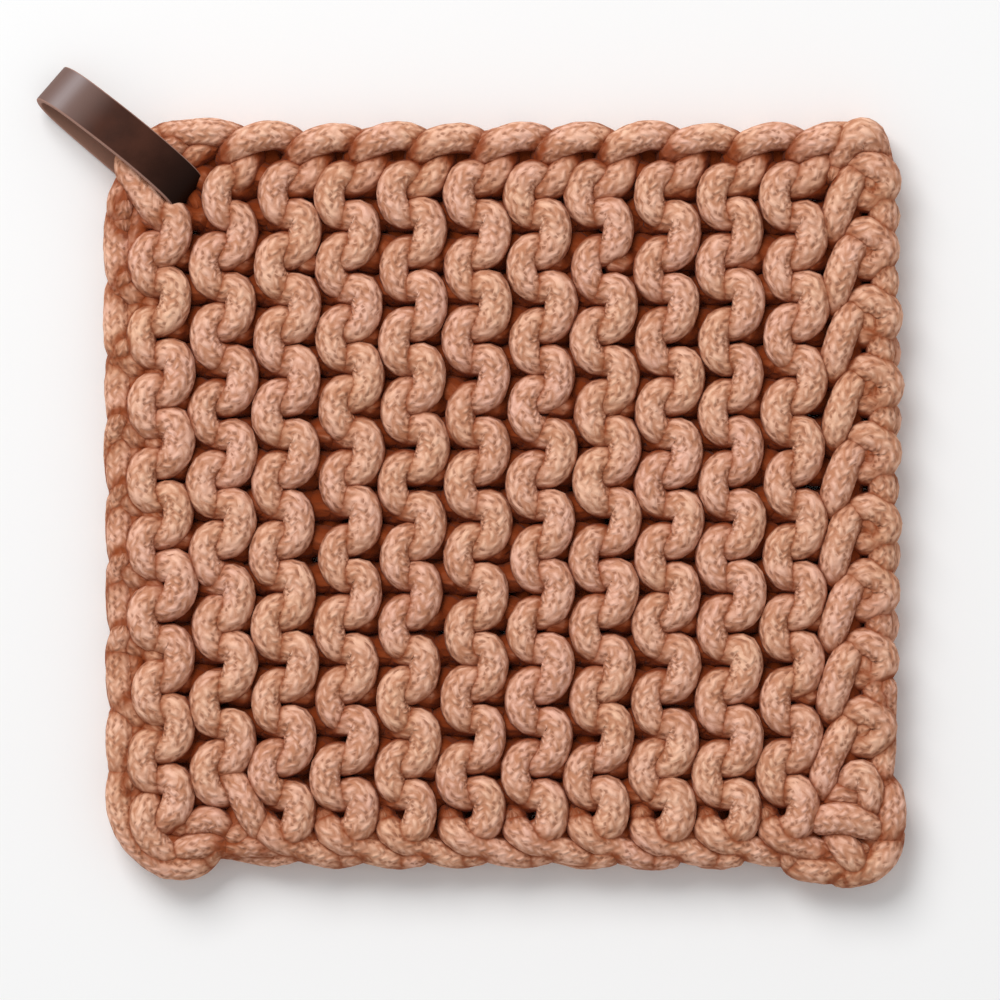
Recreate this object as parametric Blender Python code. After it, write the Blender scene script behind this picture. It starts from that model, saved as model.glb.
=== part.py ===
"""Square pot holder worked in thick cotton rope, with a leather hanging loop, lying flat.

Axes: +X to the right of the face, +Y up the face, +Z out of it. The origin is the middle of
the square's underside. Layout values are in millimetres, and meshes are made in metres.
"""
import math

import bmesh
import bpy
import numpy as np
from mathutils import Vector
from mathutils.geometry import delaunay_2d_cdt

MM = 0.001

# Rope and fabric.
ROPE_RADIUS = 3.9
THICKNESS = 15.0
FRONT_CENTRE = THICKNESS - ROPE_RADIUS      # height of the rope's middle in the front stitches
BACK_CENTRE = ROPE_RADIUS
MIDDLE = THICKNESS / 2
VALLEY_DEPTH = 1.3                          # half the fabric that is left under the deepest dimple
REST_FLAT = 0.55                            # the back's crests are pressed flat below this height

# Stitches: each column is a chain of left loops that open right, and right loops that open left.
COLUMN_PITCH = 16.1
STITCH_PITCH = 18.42
FIRST_COLUMN_PITCH = 18.0                   # rows of the first column lie closer
LEFT_LOOPS = 9
RIGHT_LOOPS = 10
FIRST_LEFT_LOOP = 76.1                      # height of the top left loop's middle
FIRST_RIGHT_LOOP = 85.2

# Left edge of each column, at three heights of the face.
COLUMN_HEIGHTS = (75.0, 4.0, -68.0)
COLUMN_EDGES = (
    # top, middle, bottom
    (-95.8, -95.8, -95.4),
    (-80.2, -80.1, -80.1),
    (-62.8, -64.2, -64.4),
    (-47.8, -47.7, -48.5),
    (-31.6, -31.5, -33.0),
    (-15.6, -15.1, -16.6),
    (0.2, 1.4, -0.1),
    (16.2, 17.4, 15.8),
    (32.7, 33.7, 32.3),
    (49.0, 49.5, 48.4),
    (65.2, 65.5, 64.4),
    (80.6, 80.5, 78.8),
)

# One loop's rope, upper end first: across from the column's left edge, up from the loop's
# middle, height above the middle of the front rope, and the rope's radius.
LEFT_LOOP = ((11.4, 4.4, -3.8, 3.9), (8.0, 5.2, -1.4, 4.0), (5.2, 4.0, -0.2, 4.0),
             (4.0, 0.4, 0.0, 4.0), (4.9, -3.5, -0.1, 4.0), (7.8, -5.2, -1.4, 4.0),
             (11.4, -4.6, -3.8, 3.9))
RIGHT_LOOP = ((3.8, 3.0, -4.6, 3.8), (8.6, 4.0, -1.2, 4.1), (12.0, 4.1, 0.0, 4.2),
              (13.1, 0.2, 0.1, 4.2), (11.9, -4.1, 0.0, 4.2), (8.6, -6.2, -1.3, 4.1),
              (3.8, -6.4, -4.6, 3.8))
TOP_RIGHT_LOOP = ((17.2, 1.8, -5.2, 3.8), (15.4, -1.8, -2.4, 4.2), (13.2, -4.8, -1.5, 4.3),
                  (9.8, -6.6, -2.1, 4.1), (6.2, -7.0, -3.8, 3.9))
# The last column's left loops are long slanting strands, and its right loops close round lumps.
LAST_LEFT_LOOP = ((10.4, 7.0, -3.4, 3.8), (8.4, 5.2, -0.6, 4.1), (6.5, 1.8, 0.1, 4.1),
                  (5.0, -2.3, 0.1, 4.1), (4.0, -6.4, -0.8, 4.0), (4.0, -10.4, -3.6, 3.8))
LAST_RIGHT_LOOP = ((8.0, 3.3, -3.6, 3.8), (11.1, 4.1, -0.8, 4.1), (14.1, 3.8, -0.2, 4.2),
                   (17.0, 0.0, -0.8, 4.1), (14.7, -3.8, -1.2, 4.1), (11.6, -4.3, -1.8, 4.0),
                   (8.6, -3.8, -3.6, 3.8))
LAST_COLUMN = len(COLUMN_EDGES) - 1
# Rows of the last column lie closer than the others, and leave room for the lower right knot.
LAST_STITCH_PITCH = 17.4
FIRST_LAST_LEFT = 75.2
FIRST_LAST_RIGHT = 79.8
LAST_LEFT_LOOPS = 8
LAST_RIGHT_LOOPS = 9

# Front loops that lie out of their rows: column, row, side (left True), then how far they are
# moved across, up and outward. The first two are pressed down under the leather.
ODD_LOOPS = {
    (0, 0, True): (0.0, 0.0, -3.4),
    (0, 0, False): (0.0, 0.0, -3.4),
    (1, 0, True): (3.2, 0.0, 0.0),
    (1, 9, False): (0.0, 1.0, -3.6),
}

# Border ropes: across from the column's left edge, up the face, height, and radius.
TOP_BORDER_LOOP = ((10.0, 85.2, -3.4, 3.5), (12.0, 88.0, -0.7, 3.7), (15.6, 89.9, -0.1, 3.8),
                   (19.8, 90.9, -0.8, 3.8), (24.2, 90.4, -2.2, 3.7), (28.2, 88.0, -4.6, 3.5))
BOTTOM_BORDER_LOOP = ((2.8, -82.4, -4.2, 3.6), (4.0, -85.4, -0.8, 4.0), (6.6, -87.5, -0.2, 4.0),
                      (11.4, -89.5, -0.8, 3.7), (16.6, -91.2, -1.6, 3.5), (21.6, -92.2, -2.8, 3.3),
                      (27.0, -91.4, -5.2, 3.2))
# Side borders: the same, but up from the middle of the loop beside them.
LEFT_BORDER_LOOP = ((-1.2, 14.8, -5.8, 3.2), (-2.0, 10.4, -3.4, 3.6), (-1.9, 2.4, -2.3, 3.8),
                    (-0.8, -3.4, -2.0, 3.8), (2.6, -7.8, -2.4, 3.7), (6.8, -9.6, -4.6, 3.5))
RIGHT_BORDER_LOOP = ((12.4, 9.4, -5.0, 3.6), (14.6, 5.6, -5.4, 3.6), (15.9, 0.0, -5.4, 3.6),
                     (14.6, -5.6, -5.4, 3.6), (12.4, -9.4, -5.0, 3.6))
FIRST_BACK_SHIFT = -2.4                     # the first column of the back starts this far across

# Ropes of the four corners: across, up, height of the rope's middle, and radius.
UPPER_LEFT_ROPES = (
    ((-92.7, 88.4, 5.0, 2.8), (-95.5, 85.6, 7.6, 3.4), (-95.0, 82.0, 9.4, 3.8),
     (-92.5, 78.2, 10.4, 4.0), (-89.7, 73.9, 11.0, 4.0), (-87.1, 70.6, 10.6, 3.8),
     (-84.6, 67.6, 8.4, 3.3)),
    ((-95.2, 80.8, 6.0, 3.0), (-96.8, 76.7, 8.2, 3.5), (-97.5, 72.9, 8.8, 3.6),
     (-97.0, 69.1, 6.6, 3.4)),
    ((-90.2, 89.4, 5.6, 3.2), (-85.6, 91.4, 8.0, 3.5), (-80.0, 91.9, 9.4, 3.6),
     (-73.9, 92.2, 9.8, 3.6), (-68.8, 91.2, 8.4, 3.4), (-65.3, 89.4, 6.0, 3.2)),
    ((-83.6, 80.3, 6.0, 3.0), (-81.0, 83.8, 8.0, 3.3), (-78.0, 86.9, 8.8, 3.4),
     (-74.4, 88.6, 7.4, 3.2)),
    ((-80.0, 78.2, 6.6, 2.4), (-78.2, 74.7, 8.8, 2.6), (-77.2, 71.1, 7.4, 2.5)),
)
UPPER_RIGHT_ROPES = (
    ((84.1, 81.5, 5.8, 3.2), (85.1, 84.3, 8.4, 3.5), (86.6, 87.1, 9.8, 3.9),
     (88.9, 90.2, 10.8, 4.3), (91.2, 91.4, 11.0, 4.5), (93.5, 90.4, 10.4, 4.3),
     (95.2, 87.4, 8.6, 3.8), (96.3, 84.1, 6.0, 3.4)),
)
LOWER_LEFT_ROPES = (
    ((-96.3, -53.3, 6.0, 3.2), (-97.3, -58.4, 8.4, 3.7), (-97.5, -64.0, 8.8, 3.8),
     (-97.0, -69.1, 8.2, 3.7), (-96.0, -73.7, 6.0, 3.3)),
    ((-95.5, -68.1, 6.0, 3.3), (-97.3, -73.2, 8.4, 3.7), (-97.3, -79.8, 8.8, 3.8),
     (-95.2, -85.9, 8.8, 3.8), (-91.2, -90.9, 8.8, 3.7), (-86.1, -94.2, 9.0, 3.7),
     (-80.5, -94.7, 8.8, 3.7), (-76.5, -93.0, 7.6, 3.5), (-73.9, -90.4, 5.6, 3.2)),
    ((-89.7, -77.7, 8.6, 3.5), (-91.2, -80.5, 10.8, 3.9), (-91.4, -84.3, 10.9, 4.0),
     (-89.7, -88.1, 10.4, 4.0), (-86.4, -91.2, 9.6, 3.8), (-82.5, -93.2, 7.8, 3.4)),
    ((-84.6, -93.0, 7.0, 3.1), (-81.0, -90.4, 9.8, 3.5), (-77.0, -89.4, 10.2, 3.6),
     (-73.4, -89.2, 9.4, 3.4), (-69.8, -90.2, 7.2, 3.1)),
    ((-80.5, -86.4, 7.4, 3.2), (-78.0, -83.8, 9.8, 3.6), (-74.4, -82.8, 10.2, 3.7),
     (-71.4, -84.6, 9.2, 3.5), (-68.8, -87.4, 6.6, 3.0)),
    ((-75.9, -90.4, 6.6, 3.2), (-68.3, -89.4, 8.6, 3.3), (-62.2, -89.2, 8.8, 3.3),
     (-56.1, -89.7, 8.2, 3.3), (-51.6, -90.9, 6.2, 3.0)),
    ((-71.6, -71.6, 8.0, 3.4), (-68.6, -73.4, 10.4, 3.8), (-66.0, -77.2, 11.1, 3.9),
     (-64.0, -81.5, 11.0, 3.8), (-62.2, -85.6, 9.4, 3.5), (-61.2, -88.4, 6.8, 3.1)),
)
LOWER_RIGHT_ROPES = (
    ((88.6, -56.4, 7.5, 3.6), (87.1, -59.9, 10.0, 3.9), (84.6, -64.0, 11.0, 3.9),
     (82.5, -68.6, 11.0, 3.9), (81.5, -73.2, 10.4, 3.8), (81.5, -77.2, 7.6, 3.4)),
    ((88.6, -76.7, 8.0, 3.4), (88.6, -72.9, 10.4, 3.9), (90.9, -71.4, 11.0, 4.1),
     (93.2, -74.2, 11.0, 4.0), (93.5, -78.2, 10.2, 3.9), (92.7, -81.8, 7.6, 3.4)),
    ((83.3, -78.0, 8.6, 3.0), (85.9, -76.2, 10.4, 3.3), (88.6, -76.5, 10.2, 3.2),
     (90.9, -78.0, 8.0, 2.8)),
    ((81.5, -83.1, 10.6, 4.0), (84.6, -82.5, 11.6, 4.3), (88.1, -82.8, 11.6, 4.3),
     (91.7, -83.8, 11.0, 4.1), (94.7, -85.1, 9.0, 3.7), (96.8, -86.1, 6.6, 3.4)),
    ((96.8, -73.7, 6.4, 3.4), (98.3, -76.7, 8.8, 3.9), (98.8, -81.3, 9.4, 4.0),
     (98.3, -85.9, 9.0, 3.9), (96.8, -89.9, 7.6, 3.6)),
    ((99.1, -87.4, 7.0, 3.5), (97.8, -90.4, 9.0, 4.0), (95.5, -93.5, 9.4, 4.1),
     (92.5, -95.5, 9.0, 4.0), (89.2, -96.5, 8.4, 3.8), (86.1, -97.0, 6.8, 3.5)),
    ((84.3, -87.4, 9.0, 3.5), (86.6, -89.7, 10.6, 4.0), (89.4, -92.7, 10.2, 4.0),
     (91.7, -96.0, 7.8, 3.5)),
    ((72.9, -92.2, 6.0, 3.4), (75.4, -94.5, 8.0, 3.8), (79.0, -95.2, 8.8, 4.0),
     (83.1, -95.5, 8.6, 4.0), (87.6, -96.3, 7.6, 3.7)),
    ((70.9, -89.9, 6.0, 3.3), (73.9, -90.4, 8.0, 3.5), (77.0, -90.9, 8.0, 3.5),
     (80.0, -91.4, 6.0, 3.3)),
    ((97.3, -49.3, 5.0, 3.2), (97.0, -55.4, 6.6, 3.4), (96.8, -63.8, 6.6, 3.4),
     (96.3, -71.4, 5.8, 3.3)),
)
# Ropes that fill the fabric under the last column, the first one and the lower corners.
HIDDEN_ROPES = (
    ((88.1, 81.8, 7.5, 3.7), (88.1, 2.0, 7.5, 3.7), (88.1, -77.7, 7.5, 3.7)),
    ((80.0, -79.2, 6.6, 4.4), (85.1, -84.8, 6.6, 4.8), (90.2, -90.4, 6.6, 4.6),
     (93.7, -94.0, 6.6, 3.8)),
    ((92.2, -70.1, 6.8, 4.6), (94.7, -79.2, 6.8, 4.6), (93.7, -89.4, 6.6, 4.4)),
    ((-92.2, 75.7, 7.0, 4.0), (-93.0, 64.5, 7.2, 4.2), (-93.2, -1.5, 7.2, 4.0),
     (-93.2, -63.0, 7.2, 4.0), (-93.2, -81.5, 7.2, 4.2), (-87.6, -88.4, 7.2, 4.2),
     (-69.3, -87.9, 7.2, 4.0)),
)

# Leather loop: it stands in a hole at the upper left and points outward, away from the middle.
LEATHER_WIDTH = 11.1
LEATHER_THICKNESS = 1.8
LEATHER_HOLE = (-79.6, 77.3)
LEATHER_OUTWARD = (-0.760, 0.650)
LEATHER_LEAN = 0.27                         # sideways shift for each unit of height
LEATHER_ROLL = math.radians(13)             # turn of the upper run about its own length
LEATHER_CLEARANCE = 0.5
CHANNEL_ROWS = (6.6, 7.5)                   # foot and shoulder of the channel that it lies in
CHANNEL_OUTWARD = (5.8, 8.6, 11.4, 14.2)
# The loop's middle line, seen from its side: outward from the hole, and height.
LEATHER_PROFILE = ((0.0, 4.6), (0.0, 7.4), (0.2, 10.6), (2.6, 13.3), (7.0, 14.4), (13.5, 14.7),
                   (21.5, 14.2), (30.0, 12.9), (37.6, 11.2), (42.1, 9.2), (44.3, 6.6),
                   (43.7, 3.6), (40.6, 1.7), (34.0, 0.9), (23.0, 0.9), (12.0, 0.9), (5.0, 0.9),
                   (1.4, 2.0))
LEATHER_TOP_HEIGHT = 14.7
LEATHER_PARTING = 7.0                       # the upper run lies above this height, the lower below
LEATHER_STEP = 2.2
LEATHER_CORNERS = ((-1, -1), (1, -1), (1, 1), (-1, 1))      # side and face of a section's corners
SLOT_HALF_LENGTH = 6.9
HOLE_LEVELS = {1: 10.4, -1: 1.2}            # height where the hole is set out, front and back
SLOT_SIDES = (-1.5, 2.8)                    # walls of the hole, outward from the leather's middle
SLOT_SHARES = (-1.0, -0.33, 0.33, 1.0)      # points along each wall

# Facets.
PATH_STEP = 1.0                             # between the points that a rope's surface is read from
PLACES_AT_ONCE = 400
OUTLINE_STEP = 3.4
RIM_INSET = 1.5
FEATURE_INSET = 2.5                         # the loops' facets start this far inside the outline
HOLE_LEDGE = 1.4
STATION_STEP = 4.6
LEAST_SPACING = 1.7
VALLEY = 1.12                               # share of the rope's radius
CREST_HIDDEN = 0.75                         # a crest this far under the surface is another rope's
PATCH = 1.7                                 # half the small flat in the middle of the underside
UNLIMITED = 1e9
SMALLEST = 1e-6

# Creases of one stitch: across from the column's left edge, up from the left loop's middle.
COLUMN_CREASE = ((0.1, 13.8), (1.9, 9.2), (0.1, 4.6), (-1.8, 0.0), (0.1, -4.6))
BETWEEN_LEFT_LOOPS = ((1.9, 9.2), (4.8, 9.2), (7.5, 9.3))
BETWEEN_RIGHT_LOOPS = ((8.4, 0.1), (11.2, -0.1), (14.3, 0.0))
# Outer flanks of one loop: across and up as in the loops' own tables.
LEFT_FLANK = ((2.3, 5.0), (1.5, 0.0), (2.3, -5.0))
RIGHT_FLANK = ((14.6, 4.8), (15.7, 0.2), (14.4, -5.0))
# On the back a second crest inside each loop makes it flat where it rests.
LEFT_FLAT = ((5.7, 0.0),)
RIGHT_FLAT = ((10.4, 0.2),)


def material(name, colour, roughness):
    """Principled material of one colour."""
    made = bpy.data.materials.new(name)
    made.use_nodes = True
    shader = made.node_tree.nodes["Principled BSDF"]
    shader.inputs["Base Color"].default_value = (*colour, 1.0)
    shader.inputs["Roughness"].default_value = roughness
    shader.inputs["Metallic"].default_value = 0.0
    return made


def smooth_path(points, step=PATH_STEP, closed=False):
    """Points about one step apart on a smooth curve through the given ones."""
    knots = [Vector(point) for point in points]
    count = len(knots)
    spans = count if closed else count - 1
    path = []
    for span in range(spans):
        if closed:
            before, start, end, after = (knots[(span + offset) % count] for offset in (-1, 0, 1, 2))
        else:
            start, end = knots[span], knots[span + 1]
            before = knots[span - 1] if span else start * 2 - end
            after = knots[span + 2] if span + 2 < count else end * 2 - start
        pieces = max(1, round((end - start).length / step))
        for piece in range(pieces):
            t = piece / pieces
            path.append(0.5 * (2 * start + (end - before) * t
                               + (2 * before - 5 * start + 4 * end - after) * t ** 2
                               + (3 * start - before - 3 * end + after) * t ** 3))
    if not closed:
        path.append(knots[-1])
    return np.array([tuple(point) for point in path])


def column_edge(column, height):
    """Across position of a column's left edge at a height on the face."""
    total = 0.0
    for own, value in zip(COLUMN_HEIGHTS, COLUMN_EDGES[column]):
        weight = 1.0
        for other in COLUMN_HEIGHTS:
            if other != own:
                weight *= (height - other) / (own - other)
        total += weight * value
    return total


def laid(shape, across, up, facing):
    """A rope set down at a place on the front (facing 1) or on the back (facing -1)."""
    centre = FRONT_CENTRE if facing > 0 else BACK_CENTRE
    return [(across + x, up + y, centre + facing * rise, radius) for x, y, rise, radius in shape]


def column_loops(facing):
    """Loops of all columns but the last on one face: their key, left edge, middle and shape.

    A loop on the back lies half a column further right than its front neighbour.
    """
    shift = 0.0 if facing > 0 else COLUMN_PITCH / 2
    for column in range(LAST_COLUMN):
        pitch = STITCH_PITCH if column else FIRST_COLUMN_PITCH
        for row in range(RIGHT_LOOPS):
            middle = FIRST_RIGHT_LOOP - row * pitch
            shape = TOP_RIGHT_LOOP if facing > 0 and row == 0 else RIGHT_LOOP
            yield (column, row, False), column_edge(column, middle) + shift, middle, shape
        if facing < 0:
            pitch = STITCH_PITCH
        for row in range(LEFT_LOOPS):
            middle = FIRST_LEFT_LOOP - row * pitch
            if facing > 0 or column < LAST_COLUMN - 1:
                yield (column, row, True), column_edge(column, middle) + shift, middle, LEFT_LOOP


def last_column_ropes(facing):
    """Loops of the last column; its back has right loops only, half a row lower."""
    ropes = []
    drop = 0.0 if facing > 0 else LAST_STITCH_PITCH / 2
    for row in range(LAST_RIGHT_LOOPS):
        middle = FIRST_LAST_RIGHT - row * LAST_STITCH_PITCH - drop
        ropes.append(laid(LAST_RIGHT_LOOP, column_edge(LAST_COLUMN, middle), middle, facing))
    if facing > 0:
        for row in range(LAST_LEFT_LOOPS):
            middle = FIRST_LAST_LEFT - row * LAST_STITCH_PITCH
            ropes.append(laid(LAST_LEFT_LOOP, column_edge(LAST_COLUMN, middle), middle, facing))
    return ropes


def first_back_ropes():
    """Left loops of the back's first column, which stands further out than its neighbours."""
    ropes = []
    for row in range(LEFT_LOOPS):
        middle = FIRST_LEFT_LOOP - row * FIRST_COLUMN_PITCH
        ropes.append(laid(LEFT_LOOP, column_edge(0, middle) + FIRST_BACK_SHIFT, middle, -1))
    return ropes


def placed(table, facing):
    """Ropes of a corner's table; the back's are those of the front turned over."""
    return [[(x, y, height if facing > 0 else THICKNESS - height, radius)
             for x, y, height, radius in rope] for rope in table]


def border_ropes(facing):
    """Ropes of the four borders and the four corners of one face."""
    ropes = []
    for column in range(1, LAST_COLUMN):
        top = column_edge(column, COLUMN_HEIGHTS[0])
        ropes.append(laid(TOP_BORDER_LOOP, top, 0.0, facing))
        if column > 1 or facing < 0:
            bottom = column_edge(column, COLUMN_HEIGHTS[2])
            ropes.append(laid(BOTTOM_BORDER_LOOP, bottom, 0.0, facing))
    for row in range(1, LEFT_LOOPS - 1):
        middle = FIRST_LEFT_LOOP - row * FIRST_COLUMN_PITCH
        ropes.append(laid(LEFT_BORDER_LOOP, column_edge(0, middle), middle, facing))
    for row in range(LAST_RIGHT_LOOPS - 1):
        middle = FIRST_LAST_RIGHT - (row + 0.5) * LAST_STITCH_PITCH
        ropes.append(laid(RIGHT_BORDER_LOOP, column_edge(LAST_COLUMN, middle), middle, facing))
    for table in (UPPER_LEFT_ROPES, UPPER_RIGHT_ROPES, LOWER_LEFT_ROPES, LOWER_RIGHT_ROPES):
        ropes += placed(table, facing)
    return ropes


def leather_run(step):
    """The loop's middle line as outward distances and heights about one step apart."""
    knots = [(outward, height, 0.0) for outward, height in LEATHER_PROFILE]
    return smooth_path(knots, step, closed=True)[:, :2]


def leather_frame(outward, height):
    """Middle of the leather, and its width direction, at a place on its side profile."""
    shift = (height - LEATHER_TOP_HEIGHT) * LEATHER_LEAN
    across = Vector((LEATHER_OUTWARD[1], -LEATHER_OUTWARD[0], 0.0))
    middle = Vector((*LEATHER_HOLE, height)) + across * shift
    middle += Vector((*LEATHER_OUTWARD, 0.0)) * outward
    roll = LEATHER_ROLL * height / LEATHER_TOP_HEIGHT
    return middle, across * math.cos(roll) - Vector((0.0, 0.0, math.sin(roll)))


def leather_coordinates(places, height):
    """Outward and sideways distances of places from the leather's middle at a height."""
    shift = (height - LEATHER_TOP_HEIGHT) * LEATHER_LEAN
    offset = places - np.array(LEATHER_HOLE)
    outward = offset @ np.array(LEATHER_OUTWARD)
    across = offset @ np.array((LEATHER_OUTWARD[1], -LEATHER_OUTWARD[0])) - shift
    return outward, across


class Face:
    """One side of the fabric: its ropes, and the height of its surface anywhere."""

    def __init__(self, facing):
        self.facing = facing
        self.stitches = []
        regular = []
        others = last_column_ropes(facing) + border_ropes(facing)
        for key, edge, middle, shape in column_loops(facing):
            if facing > 0 and key in ODD_LOOPS:
                across, up, rise = ODD_LOOPS[key]
                others.append([(x + across, y + up, z + rise, radius)
                               for x, y, z, radius in laid(shape, edge, middle, facing)])
            elif shape is TOP_RIGHT_LOOP:
                others.append(laid(shape, edge, middle, facing))
            else:
                self.stitches.append((edge, middle, shape))
                regular.append(laid(shape, edge, middle, facing))
        if facing < 0:
            others += first_back_ropes()
        self.paths = [smooth_path(points) for points in others]
        unseen = [smooth_path(points) for points in regular + placed(HIDDEN_ROPES, facing)]
        self.samples = np.vstack(self.paths + unseen)
        self.radii = self.samples[:, 3]

    def height(self, places):
        """Surface heights: the outermost rope at each place, but not in the leather's way."""
        heights = np.empty(len(places))
        for start in range(0, len(places), PLACES_AT_ONCE):
            chunk = places[start:start + PLACES_AT_ONCE]
            gap = ((chunk[:, None, :] - self.samples[None, :, :2]) ** 2).sum(axis=2)
            rise = np.sqrt(np.maximum(self.radii ** 2 - gap, 0.0))
            crest = self.facing * self.samples[:, 2] + rise
            reach = np.where(gap < self.radii ** 2, crest, -UNLIMITED)
            heights[start:start + PLACES_AT_ONCE] = self.facing * reach.max(axis=1)
        if self.facing > 0:
            heights = np.maximum(heights, MIDDLE + VALLEY_DEPTH)
            return np.minimum(heights, self.leather_limit(places))
        heights = np.minimum(heights, MIDDLE - VALLEY_DEPTH)
        in_patch = np.abs(places).max(axis=1) < PATCH + SMALLEST
        heights = np.where((heights < REST_FLAT) | in_patch, 0.0, heights)
        return np.maximum(heights, self.leather_limit(places))

    def leather_limit(self, places):
        """Highest (front) or lowest (back) surface that clears the leather."""
        run = leather_run(PATH_STEP / 2)
        run = run[(run[:, 1] - LEATHER_PARTING) * self.facing > 0]
        reach = LEATHER_THICKNESS / 2 + LEATHER_CLEARANCE
        level = LEATHER_TOP_HEIGHT if self.facing > 0 else LEATHER_THICKNESS / 2
        outward, across = leather_coordinates(places, level)
        limit = np.full(len(places), UNLIMITED * self.facing)
        tilt = math.tan(LEATHER_ROLL) if self.facing > 0 else 0.0
        for place in np.flatnonzero(np.abs(across) < sum(CHANNEL_ROWS) / 2):
            gap = np.abs(run[:, 0] - outward[place])
            near = gap < reach
            if near.any():
                edge = run[near, 1] - self.facing * np.sqrt(reach ** 2 - gap[near] ** 2)
                edge -= tilt * across[place]
                limit[place] = edge.min() if self.facing > 0 else edge.max()
        return limit


def outline(faces):
    """Outer edge of the fabric, seen from above, from the ropes' reach in each direction."""
    samples = np.vstack([face.samples for face in faces])
    radii = np.concatenate([face.radii for face in faces])
    ring = []
    angle = 0.0
    while angle < 2 * math.pi:
        ray = np.array((math.cos(angle), math.sin(angle)))
        along = samples[:, :2] @ ray
        aside = samples[:, 0] * -ray[1] + samples[:, 1] * ray[0]
        hit = (np.abs(aside) < radii) & (along > 0)
        reach = (along[hit] + np.sqrt(radii[hit] ** 2 - aside[hit] ** 2)).max()
        ring.append(ray * reach)
        angle += OUTLINE_STEP / reach
    return np.array(ring)


def slot_ring(level):
    """The leather's hole through the fabric at a height, as eight points."""
    middle, _across = leather_frame(0.0, level)
    out = np.array(LEATHER_OUTWARD)
    side = np.array((LEATHER_OUTWARD[1], -LEATHER_OUTWARD[0]))
    reach = [side * share * SLOT_HALF_LENGTH for share in SLOT_SHARES]
    far = [out * SLOT_SIDES[0] + along for along in reach]
    near = [out * SLOT_SIDES[1] + along for along in reversed(reach)]
    return np.array(middle[:2]) + np.array(far + near)


def inside(places, ring):
    """Which places lie inside a closed ring."""
    x, y = places[:, 0:1], places[:, 1:2]
    x0, y0 = ring[:, 0], ring[:, 1]
    x1, y1 = np.roll(x0, -1), np.roll(y0, -1)
    with np.errstate(divide="ignore", invalid="ignore"):
        crossing = ((y0 > y) != (y1 > y)) & (x < (x1 - x0) * (y - y0) / (y1 - y0) + x0)
    return crossing.sum(axis=1) % 2 == 1


def shrunk(ring, inset):
    """A ring moved inward along its own normals."""
    along = np.roll(ring, -1, axis=0) - np.roll(ring, 1, axis=0)
    normal = np.stack((-along[:, 1], along[:, 0]), axis=1)
    return ring + inset * normal / np.linalg.norm(normal, axis=1)[:, None]


def channel_rows(facing):
    """Rows of points along the foot and the shoulder of both sides of the leather's channel."""
    level = LEATHER_TOP_HEIGHT if facing > 0 else LEATHER_THICKNESS / 2
    across = np.array((LEATHER_OUTWARD[1], -LEATHER_OUTWARD[0]))
    rows = []
    for aside in (*CHANNEL_ROWS, *(-row for row in CHANNEL_ROWS)):
        rows.append([np.array(leather_frame(outward, level)[0][:2]) + across * aside
                     for outward in CHANNEL_OUTWARD])
    return rows


def rope_lines(face):
    """Crests, then creases, of the ropes that aren't regular loops."""
    crests = []
    creases = []
    for path in face.paths:
        steps = np.linalg.norm(np.diff(path[:, :3], axis=0), axis=1)
        lengths = np.concatenate(([0.0], np.cumsum(steps)))
        stations = max(2, round(lengths[-1] / STATION_STEP))
        crest = []
        sides = ([], [])
        for station in range(stations + 1):
            index = min(np.searchsorted(lengths, lengths[-1] * station / stations), len(path) - 1)
            ahead = path[min(index + 1, len(path) - 1), :2] - path[max(index - 1, 0), :2]
            ahead /= max(np.linalg.norm(ahead), SMALLEST)
            radius = path[index, 3]
            aside = np.array((-ahead[1], ahead[0])) * radius * VALLEY
            place = path[index, :2]
            own = path[index, 2] + face.facing * radius
            if abs(face.height(place[None, :])[0] - own) < CREST_HIDDEN:
                crest.append(place)
            sides[0].append(place + aside)
            sides[1].append(place - aside)
        crests.append(crest)
        creases += [[place] for side in sides for place in side]
    return crests + creases


def stitch_lines(face):
    """Crests, creases and flanks of the regular loops."""
    crests = []
    others = []
    for edge, middle, shape in face.stitches:
        corner = np.array((edge, middle))
        crests.append([corner + point[:2] for point in shape[1:-1]])
        is_left = shape is LEFT_LOOP
        if is_left:
            for crease in (COLUMN_CREASE, BETWEEN_LEFT_LOOPS, BETWEEN_RIGHT_LOOPS):
                others.append([corner + point for point in crease])
        if face.facing > 0:
            flank = LEFT_FLANK if is_left else RIGHT_FLANK
        else:
            flank = LEFT_FLAT if is_left else RIGHT_FLAT
        others += [[corner + point] for point in flank]
    return crests + others


def feature_points(face, taken, bounds, hole):
    """Points on the lines, none too close together, and the edges between neighbours."""
    kept = [np.array(point) for point in taken]
    edges = []
    if face.facing < 0:
        kept += [np.array((x * PATCH, y * PATCH)) for x, y in ((-1, -1), (1, -1), (1, 1), (-1, 1))]
    for line in rope_lines(face) + stitch_lines(face):
        before = None
        for point in line:
            place = point[None, :]
            near = np.linalg.norm(np.array(kept) - point, axis=1)
            if not inside(place, bounds)[0] or inside(place, hole)[0]:
                before = None
            elif near.min() < LEAST_SPACING:
                before = None
            else:
                kept.append(point)
                if before is not None:
                    edges.append((before, len(kept) - 1))
                before = len(kept) - 1
    return kept[len(taken):], edges


def closed_loop(first, count):
    """Edges of a ring of points that start at an index."""
    return [(first + index, first + (index + 1) % count) for index in range(count)]


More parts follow.
